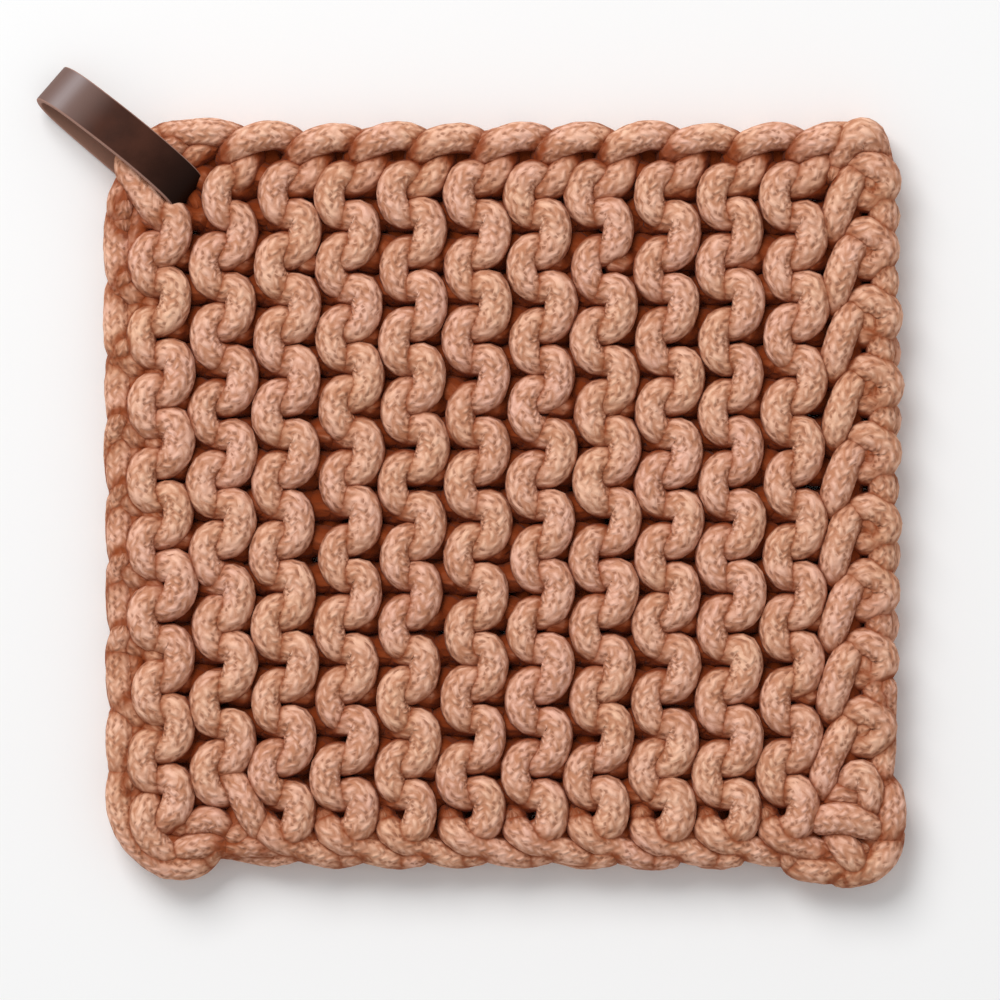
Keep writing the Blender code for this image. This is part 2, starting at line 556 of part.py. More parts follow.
def build_fabric():
    """The whole fabric as one solid with its loops raised on both faces."""
    faces = [Face(1), Face(-1)]
    ring = outline(faces)
    shell = bmesh.new()
    rim = [shell.verts.new((x * MM, y * MM, MIDDLE * MM)) for x, y in ring]
    holes = []
    for face in faces:
        hole = slot_ring(HOLE_LEVELS[face.facing])
        inner = shrunk(ring, RIM_INSET)
        around = shrunk(hole, -HOLE_LEDGE)
        rows = channel_rows(face.facing)
        fixed = [*ring, *hole, *inner, *around]
        edges = closed_loop(0, len(ring)) + closed_loop(len(ring), len(hole))
        for row in rows:
            edges += [(len(fixed) + index, len(fixed) + index + 1) for index in range(len(row) - 1)]
            fixed += row
        features, lines = feature_points(face, fixed, shrunk(ring, FEATURE_INSET), around)
        points = fixed + features
        edges += lines
        verts2d = [Vector(point) for point in points]
        kept, _edges, triangles, origins, *_rest = delaunay_2d_cdt(verts2d, edges, [], 0, SMALLEST)
        places = np.array([tuple(point) for point in kept])
        heights = face.height(places)
        corners = []
        hole_verts = {}
        for index, place in enumerate(places):
            source = min(origins[index]) if origins[index] else len(points)
            if source < len(ring):
                corners.append(rim[source])
                continue
            corner = shell.verts.new((place[0] * MM, place[1] * MM, heights[index] * MM))
            corners.append(corner)
            if source < len(ring) + len(hole):
                hole_verts[source - len(ring)] = corner
        holes.append([hole_verts[index] for index in range(len(hole))])
        middles = np.array([places[list(triangle)].mean(axis=0) for triangle in triangles])
        keep = inside(middles, ring) & ~inside(middles, hole)
        for triangle, wanted in zip(triangles, keep):
            if wanted:
                order = triangle if face.facing > 0 else reversed(triangle)
                shell.faces.new([corners[index] for index in order])
    front, back = holes
    for index in range(len(front)):
        after = (index + 1) % len(front)
        shell.faces.new((front[index], back[index], back[after]))
        shell.faces.new((front[index], back[after], front[after]))
    bmesh.ops.recalc_face_normals(shell, faces=shell.faces)
    return finish("rope_fabric", shell, material("cotton_rope", (0.56, 0.27, 0.17), 0.92))


def build_leather_loop():
    """The strap as one closed band through the hole and round the corner."""
    run = leather_run(LEATHER_STEP)
    band = bmesh.new()
    rings = []
    for index, (outward, height) in enumerate(run):
        ahead = run[(index + 1) % len(run)] - run[index - 1]
        ahead /= np.linalg.norm(ahead)
        middle, across = leather_frame(outward, height)
        along = Vector((*LEATHER_OUTWARD, 0.0)) * ahead[0] + Vector((0.0, 0.0, ahead[1]))
        normal = along.cross(across).normalized()
        ring = []
        for side, face in LEATHER_CORNERS:
            corner = middle + across * side * LEATHER_WIDTH / 2
            corner += normal * face * LEATHER_THICKNESS / 2
            corner.z = max(corner.z, 0.0)
            ring.append(band.verts.new(corner * MM))
        rings.append(ring)
    for index, ring in enumerate(rings):
        after = rings[(index + 1) % len(rings)]
        for corner in range(len(ring)):
            beside = (corner + 1) % len(ring)
            band.faces.new((ring[corner], ring[beside], after[beside], after[corner]))
    bmesh.ops.triangulate(band, faces=band.faces)
    bmesh.ops.recalc_face_normals(band, faces=band.faces)
    return finish("leather_loop", band, material("brown_leather", (0.055, 0.022, 0.015), 0.42))


def finish(name, shell, finish_material):
    """Turns a bmesh into a named object with one material."""
    mesh = bpy.data.meshes.new(name)
    shell.to_mesh(mesh)
    shell.free()
    mesh.materials.append(finish_material)
    made = bpy.data.objects.new(name, mesh)
    bpy.context.collection.objects.link(made)
    return made


def main():
    """Clears the scene and builds both pieces."""
    for old in list(bpy.data.objects):
        bpy.data.objects.remove(old, do_unlink=True)
    build_fabric()
    build_leather_loop()


main()
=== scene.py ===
"""Pot holder of thick braided cotton rope with a leather hanging loop, dressed round its frame.

Each course of a column is one rope that passes from the front loops through the fabric to the
back loops and back again. The last column, the borders and the corners are ropes of their own.
Layout values are in millimetres on the frame's axes: +X to the right of the face, +Y up the
face, +Z out of it.
"""
import math

import bmesh
import bpy
import numpy as np
from mathutils import Matrix, Vector, noise


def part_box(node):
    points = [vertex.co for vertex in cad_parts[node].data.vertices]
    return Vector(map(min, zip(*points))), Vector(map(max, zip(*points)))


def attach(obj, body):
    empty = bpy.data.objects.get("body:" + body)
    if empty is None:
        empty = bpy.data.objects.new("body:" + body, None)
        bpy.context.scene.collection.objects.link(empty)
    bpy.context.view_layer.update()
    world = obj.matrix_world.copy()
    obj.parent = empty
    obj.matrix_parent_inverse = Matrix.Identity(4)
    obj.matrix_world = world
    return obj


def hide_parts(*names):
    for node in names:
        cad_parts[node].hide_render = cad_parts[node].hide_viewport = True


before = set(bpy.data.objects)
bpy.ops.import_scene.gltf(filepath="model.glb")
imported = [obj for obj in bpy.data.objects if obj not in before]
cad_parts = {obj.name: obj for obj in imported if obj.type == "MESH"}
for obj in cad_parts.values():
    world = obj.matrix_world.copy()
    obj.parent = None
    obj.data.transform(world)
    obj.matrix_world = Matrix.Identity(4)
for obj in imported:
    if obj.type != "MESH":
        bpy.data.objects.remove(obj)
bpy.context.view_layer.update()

bl_info = {
    "name": "Rope pot holder",
    "version": (1, 0, 0),
    "blender": (4, 5, 0),
    "location": "3D View > Sidebar > Pot holder",
    "description": "Lays a cotton rope pot holder and its leather loop round the packed frame",
    "category": "Object",
}

MM = 0.001
FABRIC_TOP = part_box("rope_fabric")[1].z / MM
BODY = "root"

# Fabric, as in the solids. Each column has loops that open to the right, on its left side,
# and loops that open to the left, on its right side.
THICKNESS = 15.0
MIDDLE = THICKNESS / 2
COLUMN_PITCH = 16.1
STITCH_PITCH = 18.42       # from one row to the next, down the face
FIRST_COLUMN_PITCH = 18.0  # rows of the first column lie closer
LEFT_LOOPS = 9
RIGHT_LOOPS = 10
FIRST_LEFT_LOOP = 76.1     # height of the first loop's middle, up the face
FIRST_RIGHT_LOOP = 85.2

# Left edge of each column at three heights of the face.
COLUMN_HEIGHTS = (75.0, 4.0, -68.0)
COLUMN_EDGES = (
    # top, middle, bottom
    (-95.8, -95.8, -95.4),
    (-80.2, -80.1, -80.1),
    (-62.8, -64.2, -64.4),
    (-47.8, -47.7, -48.5),
    (-31.6, -31.5, -33.0),
    (-15.6, -15.1, -16.6),
    (0.2, 1.4, -0.1),
    (16.2, 17.4, 15.8),
    (32.7, 33.7, 32.3),
    (49.0, 49.5, 48.4),
    (65.2, 65.5, 64.4),
    (80.6, 80.5, 78.8),
)
LAST_COLUMN = len(COLUMN_EDGES) - 1

# One loop's rope, upper end first: across from the column's left edge, up from the loop's
# middle, height above the stitches' middle line, and the rope's radius.
LEFT_LOOP = ((11.4, 4.4, -3.8, 3.9), (8.0, 5.2, -1.4, 4.0), (5.2, 4.0, -0.2, 4.0),
             (4.0, 0.4, 0.0, 4.0), (4.9, -3.5, -0.1, 4.0), (7.8, -5.2, -1.4, 4.0),
             (11.4, -4.6, -3.8, 3.9))
RIGHT_LOOP = ((3.8, 3.0, -4.6, 3.8), (8.6, 4.0, -1.2, 4.1), (12.0, 4.1, 0.0, 4.2),
              (13.1, 0.2, 0.1, 4.2), (11.9, -4.1, 0.0, 4.2), (8.6, -6.2, -1.3, 4.1),
              (3.8, -6.4, -4.6, 3.8))
TOP_RIGHT_LOOP = ((17.2, 1.8, -5.2, 3.8), (15.4, -1.8, -2.4, 4.2), (13.2, -4.8, -1.5, 4.3),
                  (9.8, -6.6, -2.1, 4.1), (6.2, -7.0, -3.8, 3.9))
LAST_LEFT_LOOP = ((10.4, 7.0, -3.4, 3.8), (8.4, 5.2, -0.6, 4.1), (6.5, 1.8, 0.1, 4.1),
                  (5.0, -2.3, 0.1, 4.1), (4.0, -6.4, -0.8, 4.0), (4.0, -10.4, -3.6, 3.8))
LAST_RIGHT_LOOP = ((8.0, 3.3, -3.6, 3.8), (11.1, 4.1, -0.8, 4.1), (14.1, 3.8, -0.2, 4.2),
                   (17.0, 0.0, -0.8, 4.1), (14.7, -3.8, -1.2, 4.1), (11.6, -4.3, -1.8, 4.0),
                   (8.6, -3.8, -3.6, 3.8))
# Rows of the last column lie closer than the others, and leave room for the lower right knot.
LAST_STITCH_PITCH = 17.4
FIRST_LAST_LEFT = 75.2
FIRST_LAST_RIGHT = 79.8
LAST_LEFT_LOOPS = 8
LAST_RIGHT_LOOPS = 9

# Loops that lie out of their rows: column, row, side (left True), then across, up, and height.
ODD_LOOPS = {
    (0, 0, True): (0.0, 0.0, -3.4),
    (0, 0, False): (0.0, 0.0, -3.4),
    (1, 0, True): (3.2, 0.0, 0.0),
    (1, 9, False): (0.0, 1.0, -3.6),
}

# Border ropes: across from the column's left edge, up the face (top and bottom) or up from the
# row's middle (left and right), height as above, and radius.
TOP_BORDER_LOOP = ((10.0, 85.2, -3.4, 3.5), (12.0, 88.0, -0.7, 3.7), (15.6, 89.9, -0.1, 3.8),
                   (19.8, 90.9, -0.8, 3.8), (24.2, 90.4, -2.2, 3.7), (28.2, 88.0, -4.6, 3.5))
BOTTOM_BORDER_LOOP = ((2.8, -82.4, -4.2, 3.6), (4.0, -85.4, -0.8, 4.0), (6.6, -87.5, -0.2, 4.0),
                      (11.4, -89.5, -0.8, 3.7), (16.6, -91.2, -1.6, 3.5), (21.6, -92.2, -2.8, 3.3),
                      (27.0, -91.4, -5.2, 3.2))
LEFT_BORDER_LOOP = ((-1.2, 14.8, -5.8, 3.2), (-2.0, 10.4, -3.4, 3.6), (-1.9, 2.4, -2.3, 3.8),
                    (-0.8, -3.4, -2.0, 3.8), (2.6, -7.8, -2.4, 3.7), (6.8, -9.6, -4.6, 3.5))
RIGHT_BORDER_LOOP = ((12.4, 9.4, -5.0, 3.6), (14.6, 5.6, -5.4, 3.6), (15.9, 0.0, -5.4, 3.6),
                     (14.6, -5.6, -5.4, 3.6), (12.4, -9.4, -5.0, 3.6))
FIRST_BACK_SHIFT = -2.4  # across, of the first column's left loops on the back

# Ropes of the four corners: across, up, height of the rope's middle, and radius. Each has a twin
# on the back.
UPPER_LEFT_ROPES = (
    ((-92.7, 88.4, 5.0, 2.8), (-95.5, 85.6, 7.6, 3.4), (-95.0, 82.0, 9.4, 3.8),
     (-92.5, 78.2, 10.4, 4.0), (-89.7, 73.9, 11.0, 4.0), (-87.1, 70.6, 10.6, 3.8),
     (-84.6, 67.6, 8.4, 3.3)),
    ((-95.2, 80.8, 6.0, 3.0), (-96.8, 76.7, 8.2, 3.5), (-97.5, 72.9, 8.8, 3.6),
     (-97.0, 69.1, 6.6, 3.4)),
    ((-90.2, 89.4, 5.6, 3.2), (-85.6, 91.4, 8.0, 3.5), (-80.0, 91.9, 9.4, 3.6),
     (-73.9, 92.2, 9.8, 3.6), (-68.8, 91.2, 8.4, 3.4), (-65.3, 89.4, 6.0, 3.2)),
    ((-83.6, 80.3, 6.0, 3.0), (-81.0, 83.8, 8.0, 3.3), (-78.0, 86.9, 8.8, 3.4),
     (-74.4, 88.6, 7.4, 3.2)),
    ((-80.0, 78.2, 6.6, 2.4), (-78.2, 74.7, 8.8, 2.6), (-77.2, 71.1, 7.4, 2.5)),
)
UPPER_RIGHT_ROPES = (
    ((84.1, 81.5, 5.8, 3.2), (85.1, 84.3, 8.4, 3.5), (86.6, 87.1, 9.8, 3.9),
     (88.9, 90.2, 10.8, 4.3), (91.2, 91.4, 11.0, 4.5), (93.5, 90.4, 10.4, 4.3),
     (95.2, 87.4, 8.6, 3.8), (96.3, 84.1, 6.0, 3.4)),
)
LOWER_LEFT_ROPES = (
    ((-96.3, -53.3, 6.0, 3.2), (-97.3, -58.4, 8.4, 3.7), (-97.5, -64.0, 8.8, 3.8),
     (-97.0, -69.1, 8.2, 3.7), (-96.0, -73.7, 6.0, 3.3)),
    ((-95.5, -68.1, 6.0, 3.3), (-97.3, -73.2, 8.4, 3.7), (-97.3, -79.8, 8.8, 3.8),
     (-95.2, -85.9, 8.8, 3.8), (-91.2, -90.9, 8.8, 3.7), (-86.1, -94.2, 9.0, 3.7),
     (-80.5, -94.7, 8.8, 3.7), (-76.5, -93.0, 7.6, 3.5), (-73.9, -90.4, 5.6, 3.2)),
    ((-89.7, -77.7, 8.6, 3.5), (-91.2, -80.5, 10.8, 3.9), (-91.4, -84.3, 10.9, 4.0),
     (-89.7, -88.1, 10.4, 4.0), (-86.4, -91.2, 9.6, 3.8), (-82.5, -93.2, 7.8, 3.4)),
    ((-84.6, -93.0, 7.0, 3.1), (-81.0, -90.4, 9.8, 3.5), (-77.0, -89.4, 10.2, 3.6),
     (-73.4, -89.2, 9.4, 3.4), (-69.8, -90.2, 7.2, 3.1)),
    ((-80.5, -86.4, 7.4, 3.2), (-78.0, -83.8, 9.8, 3.6), (-74.4, -82.8, 10.2, 3.7),
     (-71.4, -84.6, 9.2, 3.5), (-68.8, -87.4, 6.6, 3.0)),
    ((-75.9, -90.4, 6.6, 3.2), (-68.3, -89.4, 8.6, 3.3), (-62.2, -89.2, 8.8, 3.3),
     (-56.1, -89.7, 8.2, 3.3), (-51.6, -90.9, 6.2, 3.0)),
    ((-71.6, -71.6, 8.0, 3.4), (-68.6, -73.4, 10.4, 3.8), (-66.0, -77.2, 11.1, 3.9),
     (-64.0, -81.5, 11.0, 3.8), (-62.2, -85.6, 9.4, 3.5), (-61.2, -88.4, 6.8, 3.1)),
)
LOWER_RIGHT_ROPES = (
    ((88.6, -56.4, 7.5, 3.6), (87.1, -59.9, 10.0, 3.9), (84.6, -64.0, 11.0, 3.9),
     (82.5, -68.6, 11.0, 3.9), (81.5, -73.2, 10.4, 3.8), (81.5, -77.2, 7.6, 3.4)),
    ((88.6, -76.7, 8.0, 3.4), (88.6, -72.9, 10.4, 3.9), (90.9, -71.4, 11.0, 4.1),
     (93.2, -74.2, 11.0, 4.0), (93.5, -78.2, 10.2, 3.9), (92.7, -81.8, 7.6, 3.4)),
    ((83.3, -78.0, 8.6, 3.0), (85.9, -76.2, 10.4, 3.3), (88.6, -76.5, 10.2, 3.2),
     (90.9, -78.0, 8.0, 2.8)),
    ((81.5, -83.1, 10.6, 4.0), (84.6, -82.5, 11.6, 4.3), (88.1, -82.8, 11.6, 4.3),
     (91.7, -83.8, 11.0, 4.1), (94.7, -85.1, 9.0, 3.7), (96.8, -86.1, 6.6, 3.4)),
    ((96.8, -73.7, 6.4, 3.4), (98.3, -76.7, 8.8, 3.9), (98.8, -81.3, 9.4, 4.0),
     (98.3, -85.9, 9.0, 3.9), (96.8, -89.9, 7.6, 3.6)),
    ((99.1, -87.4, 7.0, 3.5), (97.8, -90.4, 9.0, 4.0), (95.5, -93.5, 9.4, 4.1),
     (92.5, -95.5, 9.0, 4.0), (89.2, -96.5, 8.4, 3.8), (86.1, -97.0, 6.8, 3.5)),
    ((84.3, -87.4, 9.0, 3.5), (86.6, -89.7, 10.6, 4.0), (89.4, -92.7, 10.2, 4.0),
     (91.7, -96.0, 7.8, 3.5)),
    ((72.9, -92.2, 6.0, 3.4), (75.4, -94.5, 8.0, 3.8), (79.0, -95.2, 8.8, 4.0),
     (83.1, -95.5, 8.6, 4.0), (87.6, -96.3, 7.6, 3.7)),
    ((70.9, -89.9, 6.0, 3.3), (73.9, -90.4, 8.0, 3.5), (77.0, -90.9, 8.0, 3.5),
     (80.0, -91.4, 6.0, 3.3)),
    ((97.3, -49.3, 5.0, 3.2), (97.0, -55.4, 6.6, 3.4), (96.8, -63.8, 6.6, 3.4),
     (96.3, -71.4, 5.8, 3.3)),
)
# Ropes that fill the inside of the right side, the lower right corner and the left side.
HIDDEN_ROPES = (
    ((88.1, 81.8, 7.5, 3.7), (88.1, 2.0, 7.5, 3.7), (88.1, -77.7, 7.5, 3.7)),
    ((80.0, -79.2, 6.6, 4.4), (85.1, -84.8, 6.6, 4.8), (90.2, -90.4, 6.6, 4.6),
     (93.7, -94.0, 6.6, 3.8)),
    ((92.2, -70.1, 6.8, 4.6), (94.7, -79.2, 6.8, 4.6), (93.7, -89.4, 6.6, 4.4)),
    ((-92.2, 75.7, 7.0, 4.0), (-93.0, 64.5, 7.2, 4.2), (-93.2, -1.5, 7.2, 4.0),
     (-93.2, -63.0, 7.2, 4.0), (-93.2, -81.5, 7.2, 4.2), (-87.6, -88.4, 7.2, 4.2),
     (-69.3, -87.9, 7.2, 4.0)),
)

# Leather loop, as in the solids: outward distance from its hole, and height, of its middle line.
LEATHER_HOLE = (-79.6, 77.3)
LEATHER_OUTWARD = (-0.760, 0.650)
LEATHER_LEAN = 0.27              # sideways shift for each millimetre of height
LEATHER_ROLL = math.radians(13)  # turn of its width at the top
LEATHER_TOP_HEIGHT = 14.7
LEATHER_PROFILE = ((0.0, 4.6), (0.0, 7.4), (0.2, 10.6), (2.6, 13.3), (7.0, 14.4), (13.5, 14.7),
                   (21.5, 14.2), (30.0, 12.9), (37.6, 11.2), (42.1, 9.2), (44.3, 6.6),
                   (43.7, 3.6), (40.6, 1.7), (34.0, 0.9), (23.0, 0.9), (12.0, 0.9), (5.0, 0.9),
                   (1.4, 2.0))
LEATHER_CORNER = 0.4             # radius of its edges
EDGE_SHARE = 0.8                 # share of the edge radius that shows as cut edge
# Points across its faces, as shares of half its width.
LEATHER_SHARES = (0.86, 0.45, 0.0, -0.45, -0.86)

# What shows on the strap, by outward distance: painted highlights at the bend and painted shade near
# the hole.
LEATHER_BEND_HIGHLIGHT = (27.0, 37.5)     # painted highlight at the bend, from the first to the second
LEATHER_HIGHLIGHT_BAND = 39.8             # middle of the painted highlight band
LEATHER_HIGHLIGHT_BAND_WIDTH = 2.0
LEATHER_HIGHLIGHT_BAND_SHARE = 0.85       # share of the painted highlight's own colour at its middle
LEATHER_HOLE_SHADE = (20.0, 2.0)  # painted shade where the strap dips into the hole, from the first to the second
LEATHER_MARKS = ("cut_edge", "flesh_side", "bend_highlight", "band", "hole_shade")

# Fineness of the meshes.
ROPE_SIDES = 28
ROPE_STEP = 1.0
WELD = 0.001               # points this near are made one
END_ANGLES = (80, 55, 28)  # degrees round a rope's rounded end
LEATHER_STEP = 1.0

# How loops stray from their places, and the rope's lumps.
SEED = 11
STRAY_MOST = 1.8   # no stray is more than this many usual ones
RISE_SHARE = 0.5   # a stray in height for one on the face
TILT = 0.11        # radians for each millimetre of unevenness
SWELL = 0.025      # share of the radius
LAST_STRAY = 0.3   # millimetres, in the last column and the borders
LUMP_PITCH = 0.42  # lumps for each millimetre of rope

# Painted shade in creases and gaps between ropes and on their sides, in millimetres and as values of
# the crevice mask.
CREASE_REACH = 6.0            # farthest rope that is looked at
CREASE_CELL = 6.0             # side of the squares that are searched in turn
CREASE_FALL = 1.25            # distance over which a crease fades
CREASE_MOST = 0.9             # mask where ropes touch
SAME_STRETCH = 11.0           # length of a rope that makes no crease with itself
CORE_CLEAR = 6.3              # distance from the middle layer where painted shade in gaps begins
CORE_DARK = 3.7               # distance from it where the mask is 1
CORE_MOST = 1.6               # highest value of the mask
GAP_DARKEST = 1.15            # mask from which a gap's painted shade is at its darkest
SIDE_SHADE = 0.6              # mask of painted shade on a rope's side at the middle layer
INLAND = (2.5, 9.0)           # both shades set in between these distances from the outline
OUTLINE_HALF = (101.0, 95.0)  # about half the fabric's width and height

# Scales of the patterns, in features for each metre.
BRAID_WANDER = 260.0
BRAID_WEAR = 330.0
BRAID_PITS = 420.0
BRAID_FIBRES = 1150.0
COTTON_MOTTLE = 230.0
COTTON_PATCHES = 55.0
LEATHER_PATCHES = 140.0
LEATHER_GRAIN = 2600.0
LEATHER_PORES = 1900.0

# Braid: a strand passes over two others and under two, and so repeats after four crossings.
CROSSINGS = 4.0
OTHER_HAND_OFFSET = (0.37, 0.11, 0.23)  # gives the other hand's strands a noise of their own
SPARE_TURNS = 64.0                      # whole turns that keep a strand's number above zero
WEAR_LEVELS = (0.35, 0.65, 0.6, 1.0)    # noise between which valleys deepen, and how deep
PIT_LEVELS = (0.42, 0.62)               # noise between which pits open
PIT_ARCH = (0.75, 0.1)                  # they lie where a strand dips under the others
PIT_BAR = (-0.2, 0.8)                   # and most at the middle of its width
PIT_MOST = 0.8                          # share of their own colour, a painted shade, where they are darkest

# How far the cotton's tone swings each way at random, and the level of the braid that its tones span,
# from painted shade in the valleys between yarns up to the yarn tops.
FIBRE_SWING = 0.16
STRAND_SWING = 0.28
MOTTLE_SWING = 0.22
TONE_LEVELS = (-0.36, 1.12)
NOISE_LEVELS = (0.3, 0.7)  # what most of a noise's values lie between

# Values of the crevice mask that painted shade, in a darker colour, sets in between, and its share
# before and after.
DIM_LEVELS = (0.04, 0.75, 0.0, 0.85)
DEEP_LEVELS = (0.54, 1.0, 0.0, 0.92)
DIM_POWER = 0.85  # how far the painted shade in creases turns to the shaded colour

# Tints that multiply a colour: some give random patches, and some paint shade in pits, in gaps and
# near the strap's hole.
WARM_TINT = (1.005, 1.025, 0.96)
PINK_TINT = (0.995, 0.975, 1.03)
PIT_SHADE_TINT = (0.62, 0.58, 0.6)
GAP_SHADE_TINT = (0.75, 0.7, 0.7)
DULL_TINT = (0.85, 0.85, 0.85)
BRIGHT_TINT = (1.25, 1.25, 1.25)
HOLE_SHADE_TINT = (0.3, 0.35, 0.4)

# Height of the fine relief in millimetres, and the shares of the cotton's that are not strands.
BRAID_RELIEF = 0.30
FIBRE_SHARE = 0.22
PIT_SHARE = 0.3
LEATHER_RELIEF = 0.03

COTTON_FINISH = (("Roughness", 0.95), ("Specular IOR Level", 0.06),
                 ("Sheen Weight", 0.04), ("Sheen Roughness", 0.6))

# Stage, in metres.
FLOOR_HALF = 3.0
LAMP_PLACE = (-0.9, 1.6, 1.9)
LAMP_SIZE = 1.5
CAMERA_REACH = 20.0


def colour_of(name, description, default):
    """A colour in the sidebar."""
    return bpy.props.FloatVectorProperty(name=name, description=description, default=default,
                                         size=3, min=0, max=1, subtype="COLOR")


def length_of(name, description, default, least, most):
    """A length in the sidebar, from millimetres."""
    return bpy.props.FloatProperty(name=name, description=description, default=default * MM,
                                   min=least * MM, max=most * MM, unit="LENGTH", precision=5)


class RopeSettings(bpy.types.PropertyGroup):
    """Sizes and colours of the cotton rope."""

    radius: length_of("Rope radius", "Radius that sets the braid's scale and the loops' height",
                      4.2, 1, 8)
    colour: colour_of("Cotton colour", "Colour of the tops of the yarns", (0.86, 0.508, 0.370))
    # Painted shade: between the yarns of the braid, in its pits, and the colour that creases dim
    # towards.
    shaded_colour: colour_of("Shaded colour", "Colour between the yarns of the braid",
                             (0.53, 0.232, 0.130))
    # Painted shade deep between two ropes, where they touch and in the gaps.
    crevice_shade_colour: colour_of("Crevice colour", "Colour deep between two ropes",
                              (0.25, 0.045, 0.008))
    unevenness: length_of("Unevenness", "How far the stitches stray from their rows", 0.45, 0, 2)
    lumps: length_of("Lumps", "Height of the soft lumps along the rope", 0.27, 0, 1)


class LeatherSettings(bpy.types.PropertyGroup):
    """Sizes and colours of the leather strap."""

    width: length_of("Strap width", "Width of the leather strap", 11.1, 3, 30)
    thickness: length_of("Strap thickness", "Thickness of the leather", 1.8, 0.5, 4)
    colour: colour_of("Leather colour", "Colour of the dyed grain side", (0.050, 0.017, 0.010))
    # Painted highlight where the strap's bend faces the light.
    bend_highlight_colour: colour_of("Worn colour", "Colour of the grain side where its bend has lightened",
                           (0.165, 0.100, 0.085))
    flesh_colour: colour_of("Inner colour", "Colour of the rough inner side", (0.30, 0.165, 0.12))
    # Painted highlight band across the bend.
    highlight_band_colour: colour_of("Band colour", "Colour of the light band across the bend",
                           (0.31, 0.25, 0.245))
    edge_colour: colour_of("Cut edge colour", "Colour of the cut edges", (0.42, 0.24, 0.19))


class StageSettings(bpy.types.PropertyGroup):
    """Floor, lamp, room and camera."""

    view_width: length_of("View width", "Width of what the camera sees at the fabric's face",
                          254, 50, 2000)
    view_centre: bpy.props.FloatVectorProperty(
        name="View centre", description="Point under the middle of the picture",
        default=(-0.76 * MM, -1.52 * MM), size=2, subtype="TRANSLATION")
    camera_height: length_of("Camera height", "Height of the camera above the floor",
                             2000, 300, 10000)
    floor_colour: colour_of("Floor colour", "Colour of the plain floor", (0.93, 0.93, 0.93))
    key_power: bpy.props.FloatProperty(
        name="Key lamp", description="Power of the large lamp above the upper left",
        default=51.0, min=0, max=500, subtype="POWER")
    sky_strength: bpy.props.FloatProperty(
        name="Room light", description="Brightness of the white room all round",
        default=0.53, min=0, max=5)


def smooth_path(points, step, closed=False):
    """Points about one step apart on a smooth curve through the given ones."""
    knots = [Vector(point) for point in points]
    count = len(knots)
    spans = count if closed else count - 1
    path = []
    for span in range(spans):
        if closed:
            before, start, end, after = (knots[(span + offset) % count] for offset in (-1, 0, 1, 2))
        else:
            start, end = knots[span], knots[span + 1]
            before = knots[span - 1] if span else start * 2 - end
            after = knots[span + 2] if span + 2 < count else end * 2 - start
        pieces = max(1, round((end - start).length / step))
        for piece in range(pieces):
            t = piece / pieces
            path.append(0.5 * (2 * start + (end - before) * t
                               + (2 * before - 5 * start + 4 * end - after) * t ** 2
                               + (3 * start - before - 3 * end + after) * t ** 3))
    if not closed:
        path.append(knots[-1])
    return path


def column_edge(column, height):
    """Across position of a column's left edge at a height on the face."""
    total = 0.0
    for own, value in zip(COLUMN_HEIGHTS, COLUMN_EDGES[column]):
        weight = 1.0
        for other in COLUMN_HEIGHTS:
            if other != own:
                weight *= (height - other) / (own - other)
        total += weight * value
    return total


class Rope:
    """One rope of the fabric: its smooth path and radius in millimetres."""

    made = []

    def __init__(self, points, inside=False):
        stations = smooth_path(points, ROPE_STEP)
        self.path = [station.xyz for station in stations]
        self.radii = [station.w for station in stations]
        self.inside = inside
        self.round_ends()
        lengths = [0.0]
        for start, end in zip(self.path, self.path[1:]):
            lengths.append(lengths[-1] + (end - start).length)
        self.lengths = lengths
        self.number = len(Rope.made)
        Rope.made.append(self)

    def round_ends(self):
        """Adds stations that close both ends like a fingertip."""
        for at_start in (True, False):
            end, beside = (self.path[0], self.path[1]) if at_start else (self.path[-1], self.path[-2])
            radius = self.radii[0] if at_start else self.radii[-1]
            outward = (end - beside).normalized()
            tip = [(end + outward * radius * math.sin(math.radians(angle)),
                    radius * math.cos(math.radians(angle))) for angle in END_ANGLES]
            if at_start:
                self.path = [place for place, _size in tip] + self.path
                self.radii = [size for _place, size in tip] + self.radii
            else:
                self.path += [place for place, _size in reversed(tip)]
                self.radii += [size for _place, size in reversed(tip)]

    def stations(self):
        """A matrix for each station of the path: the ring's plane, size and place in metres."""
        aside = None
        before = None
        for index, place in enumerate(self.path):
            ahead = self.path[min(index + 1, len(self.path) - 1)]
            ahead = (ahead - self.path[max(index - 1, 0)]).normalized()
            if aside is None:
                aside = ahead.orthogonal().normalized()
            else:
                aside.rotate(before.rotation_difference(ahead))
                aside = (aside - ahead * aside.dot(ahead)).normalized()
            before = ahead
            size = self.radii[index] * MM
            frame_of_ring = Matrix((aside * size, ahead.cross(aside) * size, ahead)).transposed()
            yield Matrix.Translation(place * MM) @ frame_of_ring.to_4x4()

    def sweep(self, shell, layers):
        """Rolls a flat grid into this rope: its x runs round the rope, its y along it."""
        along, number, wrap = layers
        stations = list(self.stations())
        last = len(stations) - 1
        girth = 2 * math.pi * bpy.context.scene.rope_settings.radius / MM
        verts = bmesh.ops.create_grid(shell, x_segments=ROPE_SIDES, y_segments=last, size=0.5,
                                      calc_uvs=True)["verts"]
        for vert in verts:
            angle = 2 * math.pi * (vert.co.x + 0.5)
            index = round((vert.co.y + 0.5) * last)
            vert.co = stations[index] @ Vector((math.cos(angle), math.sin(angle), 0.0))
            vert[along] = self.lengths[index]
            vert[number] = self.number
        for face in {face for vert in verts for face in vert.link_faces}:
            for corner in face.loops:
                corner[wrap].uv.y = corner.vert[along] / girth
        edges = {edge for vert in verts for edge in vert.link_edges}
        seam = {vert for edge in edges if edge.is_boundary for vert in edge.verts}
        bmesh.ops.remove_doubles(shell, verts=list(seam), dist=WELD * MM)


